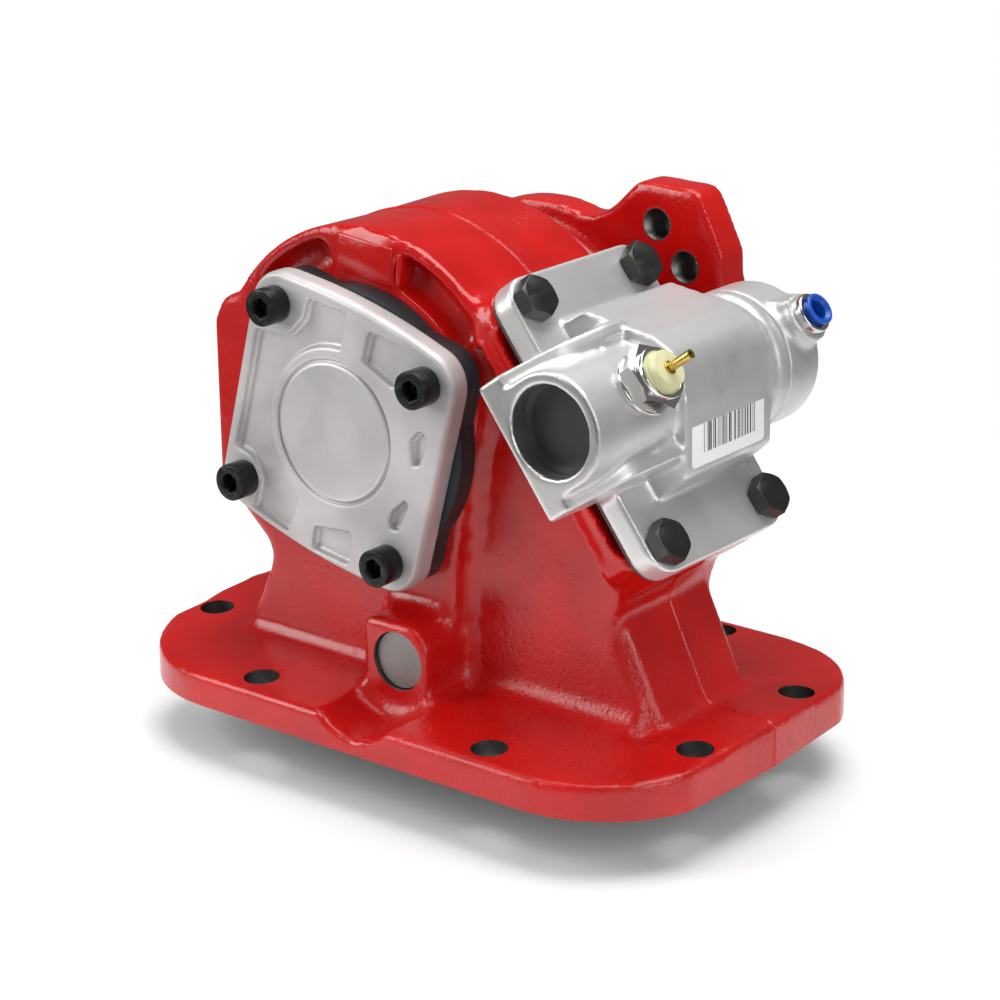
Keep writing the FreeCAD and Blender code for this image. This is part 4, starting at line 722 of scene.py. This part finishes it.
def cover_hollows():
    """The fork's space, the bores of the tube, the switch's seat and the bolt holes."""
    hollows = [tool(add_block, (-13.5, -22.5, -5), (12.3, 9, 17.5), PAD),
               along_tube(-22.5, 9, 13),
               tool(add_block, (-19.7, -19.3, -5), (12.3, 5.5, 10.5), PAD),
               along_tube(-60, 14, ROD_BORE),
               along_tube(-60, -47.8, TUBE_BORE, 96),
               along_tube(12.5, 37, CYLINDER_BORE, 96),
               tool(add_bar, (0, -32, 4), (0, -32, 25), 5.5, place=TUBE),
               tool(add_bar, (0, -32, 17.5), (0, -32, 26), 11.6, place=TUBE)]
    bolt_holes = [tool(add_bar, (x, y, -5), (x, y, 12), 4.4, place=PAD, segments=40)
                  for x, y in COVER_BOLTS]
    return hollows + bolt_holes


def cover_casting():
    """The shift cover: cast fillets first, then its hollows and bores."""
    mesh = packed_copy("shift_cover")
    add_block(mesh, (-20, -23, 0.6), (14, 10, 20), PAD)
    for x, y in COVER_BOLTS:
        add_bar(mesh, (x, y, 0.6), (x, y, COVER_SEAT), 5, place=PAD)
    add_bar(mesh, (0, -46, 0), (0, 35.2, 0), CYLINDER_BORE + 0.1, place=TUBE)
    mesh = foundry(mesh, voxel=0.65, fillet=1.1, softness=3)
    mesh = carved(mesh, cover_hollows())
    mesh = thinned(mesh, target=150000)
    mark(mesh, 1, bright_cut)
    add_piece("cover_casting", mesh, [CAST, MACHINED], replaced=["shift_cover"], crease=50)


def blank_label():
    """The plain white label on the cover's sloping face, with bars in place of print."""
    place = PAD @ Matrix.Translation((18.2, 3.75, 29.3)) @ Matrix.Rotation(math.radians(35), 4, "Y")
    mesh = tool(add_block, (-9.8, -19.6, -0.4), (9.8, 19.6, 0.35), place)
    upright = [edge for edge in mesh.edges
               if abs((edge.verts[0].co - edge.verts[1].co).length - 0.75) < 0.01]
    bmesh.ops.bevel(mesh, geom=upright, offset=1.6, segments=6, profile=0.5, affect="EDGES",
                    material=-1)
    add_piece("blank_label", bevelled(mesh, 0.08, 2), [label_sheet(place)])


def label_sheet(place):
    """White sheet with plain bars across the middle of its length."""
    paint = Paint("label_sheet", (0.8, 0.8, 0.78), roughness=0.35)
    along = paint.axis("Y") / MM - place.translation.y
    slope = place.to_3x3() @ Vector((1, 0, 0))
    across = ((paint.axis("X") / MM - place.translation.x) * slope.x
              + (paint.axis("Z") / MM - place.translation.z) * slope.z)
    stripes = paint.value("ShaderNodeTexNoise", {"noise_dimensions": "1D"},
                          {"W": along * 1.3, "Scale": 1.0, "Detail": 1.0}, "Fac").above(0.5)
    inside = ((across * across).ramp(34, 36, 1.0, 0.0)
              * ((along - 0.5) * (along - 0.5)).ramp(195, 200, 1.0, 0.0))
    paint.set("Base Color", paint.mix(stripes * inside, (0.8, 0.8, 0.78), (0.03, 0.03, 0.03)))
    paint.set("Roughness", paint.noise(400, 2) * 0.15 + 0.28)
    paint.bump((paint.noise(160, 2), 0.0002, 0.2))
    return paint.material


def bright_cut(spot, normal):
    """Whether a face belongs to the tube's end or its mouth, which are cut bright."""
    place = TUBE.inverted() @ spot
    bored = math.hypot(place.x, place.z) < 15.6 and abs(normal.y) < 0.5 and place.y < -47
    return normal.y < -0.9 and spot.y < -58 or bored


def cylinder_casting():
    """The air cylinder's cap, with the seat and the port of its hose fitting."""
    mesh = packed_copy("air_cylinder")
    add_bar(mesh, (0, 36, 0), (0, 50.2, 0), CYLINDER_BORE + 0.1, place=TUBE)
    add_bar(mesh, (0, FITTING_ALONG, 10), (0, FITTING_ALONG, 27.4), 7, place=TUBE)
    mesh = foundry(mesh, voxel=0.6, fillet=2.4, softness=5)
    seat = tool(add_bar, (0, FITTING_ALONG, 23.3), (0, FITTING_ALONG, 33), FITTING_BORE, place=TUBE)
    port = tool(add_bar, (0, FITTING_ALONG, 0), (0, FITTING_ALONG, 30), 2, place=TUBE, segments=32)
    mesh = carved(mesh, [along_tube(33, 50, CYLINDER_BORE, 96), seat, port])
    mesh = thinned(mesh, target=80000)
    add_piece("cylinder_casting", mesh, [CAST], replaced=["air_cylinder"], crease=50)


cap_casting()
cover_casting()
cylinder_casting()
blank_label()


# Screws, bolts and the switch

def socket_screw(seat):
    """A socket head cap screw that points to the rear."""
    head = tool(add_bar, seat, seat + FRONT * 8, 6.1, segments=64)
    head = carved(head, [tool(add_bar, seat + FRONT * 3.2, seat + FRONT * 9, 3.46, segments=6)])
    shank = tool(add_bar, seat + REAR * 0.01, seat + REAR * 25, SHANK_RADIUS, segments=32)
    return [bevelled(head, 0.55), shank]


def cap_screw_set():
    """The bearing cap's four screws on a square turned with the cap."""
    meshes = []
    for angle in (45, 135, 225, 315):
        meshes += socket_screw(round_output(angle - CAP_TURN, CAP_SCREW_REACH) + FRONT * CAP_FACE)
    add_piece("cap_screw_set", gathered(meshes), [BLACK], replaced=["cap_screws"])


def hexagon(low, high, across, place, both=False):
    """A chamfered hexagon along its frame's Z."""
    corner = across / math.sqrt(3)
    mesh = tool(add_bar, (0, 0, low), (0, 0, high), corner, segments=6, place=place)
    spread = (high - low) * math.sqrt(3)
    cones = [tool(add_bar, (0, 0, low), (0, 0, high), across / 2 + spread, across / 2 - 0.15, 96,
                  place)]
    if both:
        cones.append(tool(add_bar, (0, 0, low), (0, 0, high), across / 2 - 0.15,
                          across / 2 + spread, 96, place))
    return carved(mesh, cones, "INTERSECT")


def cover_bolt_set():
    """The cover's four bolts, each with a washer face under its chamfered head."""
    meshes = []
    for x, y in COVER_BOLTS:
        place = PAD @ Matrix.Translation((x, y, COVER_SEAT))
        place = place @ Matrix.Rotation(math.radians(8 * x + y), 4, "Z")
        meshes += [bevelled(hexagon(0.6, 5.6, 12.7, place), 0.2, 2),
                   tool(add_bar, (0, 0, 0.01), (0, 0, 0.7), 6.2, segments=48, place=place),
                   tool(add_bar, (0, 0, -0.01), (0, 0, -19.5), SHANK_RADIUS, segments=32,
                        place=place)]
    add_piece("cover_bolt_set", gathered(meshes), [BOLT], replaced=["cover_bolts"])


def on_switch(low, high, radius, end_radius=None, segments=72):
    """A round form about the switch's axis."""
    return tool(add_bar, (0, 0, low), (0, 0, high), radius, end_radius, segments, SWITCH)


def switch_pieces():
    """The plated hexagon with its rolled collar, the ivory insulator and the brass pin."""
    collar = carved(on_switch(7, 9.5, 8.5), [on_switch(6, 10, 6.9)])
    barrel = carved(hexagon(1.5, 7.5, 19, SWITCH, both=True), [on_switch(6, 10, 6.9)])
    skirt = on_switch(0, 1.6, 10.1)
    thread = carved(on_switch(-8.5, -0.01, 5.48), [on_switch(-9, -2.5, 2.6)])
    add_piece("switch_plating", gathered([bevelled(barrel, 0.3, 2), bevelled(collar, 0.7),
                                          bevelled(skirt, 0.4), thread]),
              [FINISHES["switch_body"]], replaced=["switch_body"])
    pin_hole = on_switch(7.3, 14, 2.22)
    base, crown = on_switch(6, 9.4, 6.88), on_switch(9.3, 12.5, 6.4, 5.9)
    ivory = carved(bevelled(carved(base, [crown], "UNION"), 0.9, 4), [pin_hole])
    add_piece("switch_ivory", ivory, [FINISHES["switch_insulator"]],
              replaced=["switch_insulator"])
    root = bevelled(on_switch(7.7, 12.9, 2.2), 0.3)
    pin = carved(on_switch(12.8, 21.7, 1.5, segments=48), [on_switch(20, 22, 0.7, segments=24)])
    add_piece("switch_pin", gathered([root, bevelled(pin, 0.35)]),
              [FINISHES["switch_terminal"]], replaced=["switch_terminal"])


cap_screw_set()
cover_bolt_set()
switch_pieces()


# Floor, light and background

def add_floor():
    """The floor just under the object."""
    mesh = bmesh.new()
    bmesh.ops.create_grid(mesh, x_segments=1, y_segments=1, size=6)
    bmesh.ops.translate(mesh, verts=mesh.verts, vec=(0, 0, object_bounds()[0][2] - 0.0002))
    data = bpy.data.meshes.new("floor")
    mesh.to_mesh(data)
    data.materials.append(floor_finish())
    floor = bpy.data.objects.new("floor", data)
    SCENE.collection.objects.link(floor)


def floor_finish():
    """A pale floor that gives way to the white background with distance."""
    paint = Paint("pale_floor", (0.86, 0.86, 0.86), roughness=0.6, specular=0.1)
    x, y = paint.axis("X"), paint.axis("Y")
    reach = (x * x + y * y).power(0.5)
    clear = paint.node("ShaderNodeBsdfTransparent", {}, {})
    share = paint.node("ShaderNodeMixShader", {},
                       {0: reach.ramp(0.16, 0.5), 1: paint.shader.outputs[0], 2: clear.outputs[0]})
    paint.tree.links.new(share.outputs[0], paint.tree.nodes["Material Output"].inputs["Surface"])
    return paint.material


add_floor()


def add_lamp(name, place, aim, size, power):
    """A soft rectangular lamp that faces a point on the object."""
    data = bpy.data.lights.new(name, "AREA")
    data.shape = "RECTANGLE"
    data.size, data.size_y = size
    data.energy = power
    lamp = bpy.data.objects.new(name, data)
    way = Vector(place) - Vector(aim)
    lamp.matrix_world = Matrix.Translation(place) @ way.to_track_quat("Z", "Y").to_matrix().to_4x4()
    SCENE.collection.objects.link(lamp)


def add_light():
    """A large overhead box, a key box at the left front and a weaker one at the right."""
    centre = (0, 0, 0.08)
    add_lamp("overhead", (0.05, 0.15, 1.1), centre, (1.0, 0.8), 12)
    add_lamp("left_box", (-0.75, -0.75, 0.55), centre, (0.45, 0.9), 8)
    add_lamp("right_box", (1.0, -0.3, 0.45), centre, (0.3, 0.8), 3.5)


def paint_world():
    """White past the object, a softer level as light and a dimmer one in reflections."""
    world = bpy.data.worlds.new("studio")
    SCENE.world = world
    world.use_nodes = True
    tree = world.node_tree
    path = tree.nodes.new("ShaderNodeLightPath")
    level = tree.nodes["Background"].outputs[0]
    tree.nodes["Background"].inputs["Color"].default_value = (1, 1, 1, 1)
    tree.nodes["Background"].inputs["Strength"].default_value = 0.5
    for ray, strength in (("Is Glossy Ray", 0.14), ("Is Camera Ray", 1.0)):
        other = tree.nodes.new("ShaderNodeBackground")
        other.inputs["Color"].default_value = (1, 1, 1, 1)
        other.inputs["Strength"].default_value = strength
        share = tree.nodes.new("ShaderNodeMixShader")
        tree.links.new(path.outputs[ray], share.inputs["Fac"])
        tree.links.new(level, share.inputs[1])
        tree.links.new(other.outputs[0], share.inputs[2])
        level = share.outputs[0]
    tree.links.new(level, tree.nodes["World Output"].inputs["Surface"])


add_light()
paint_world()
SCENE.view_settings.view_transform = "Standard"
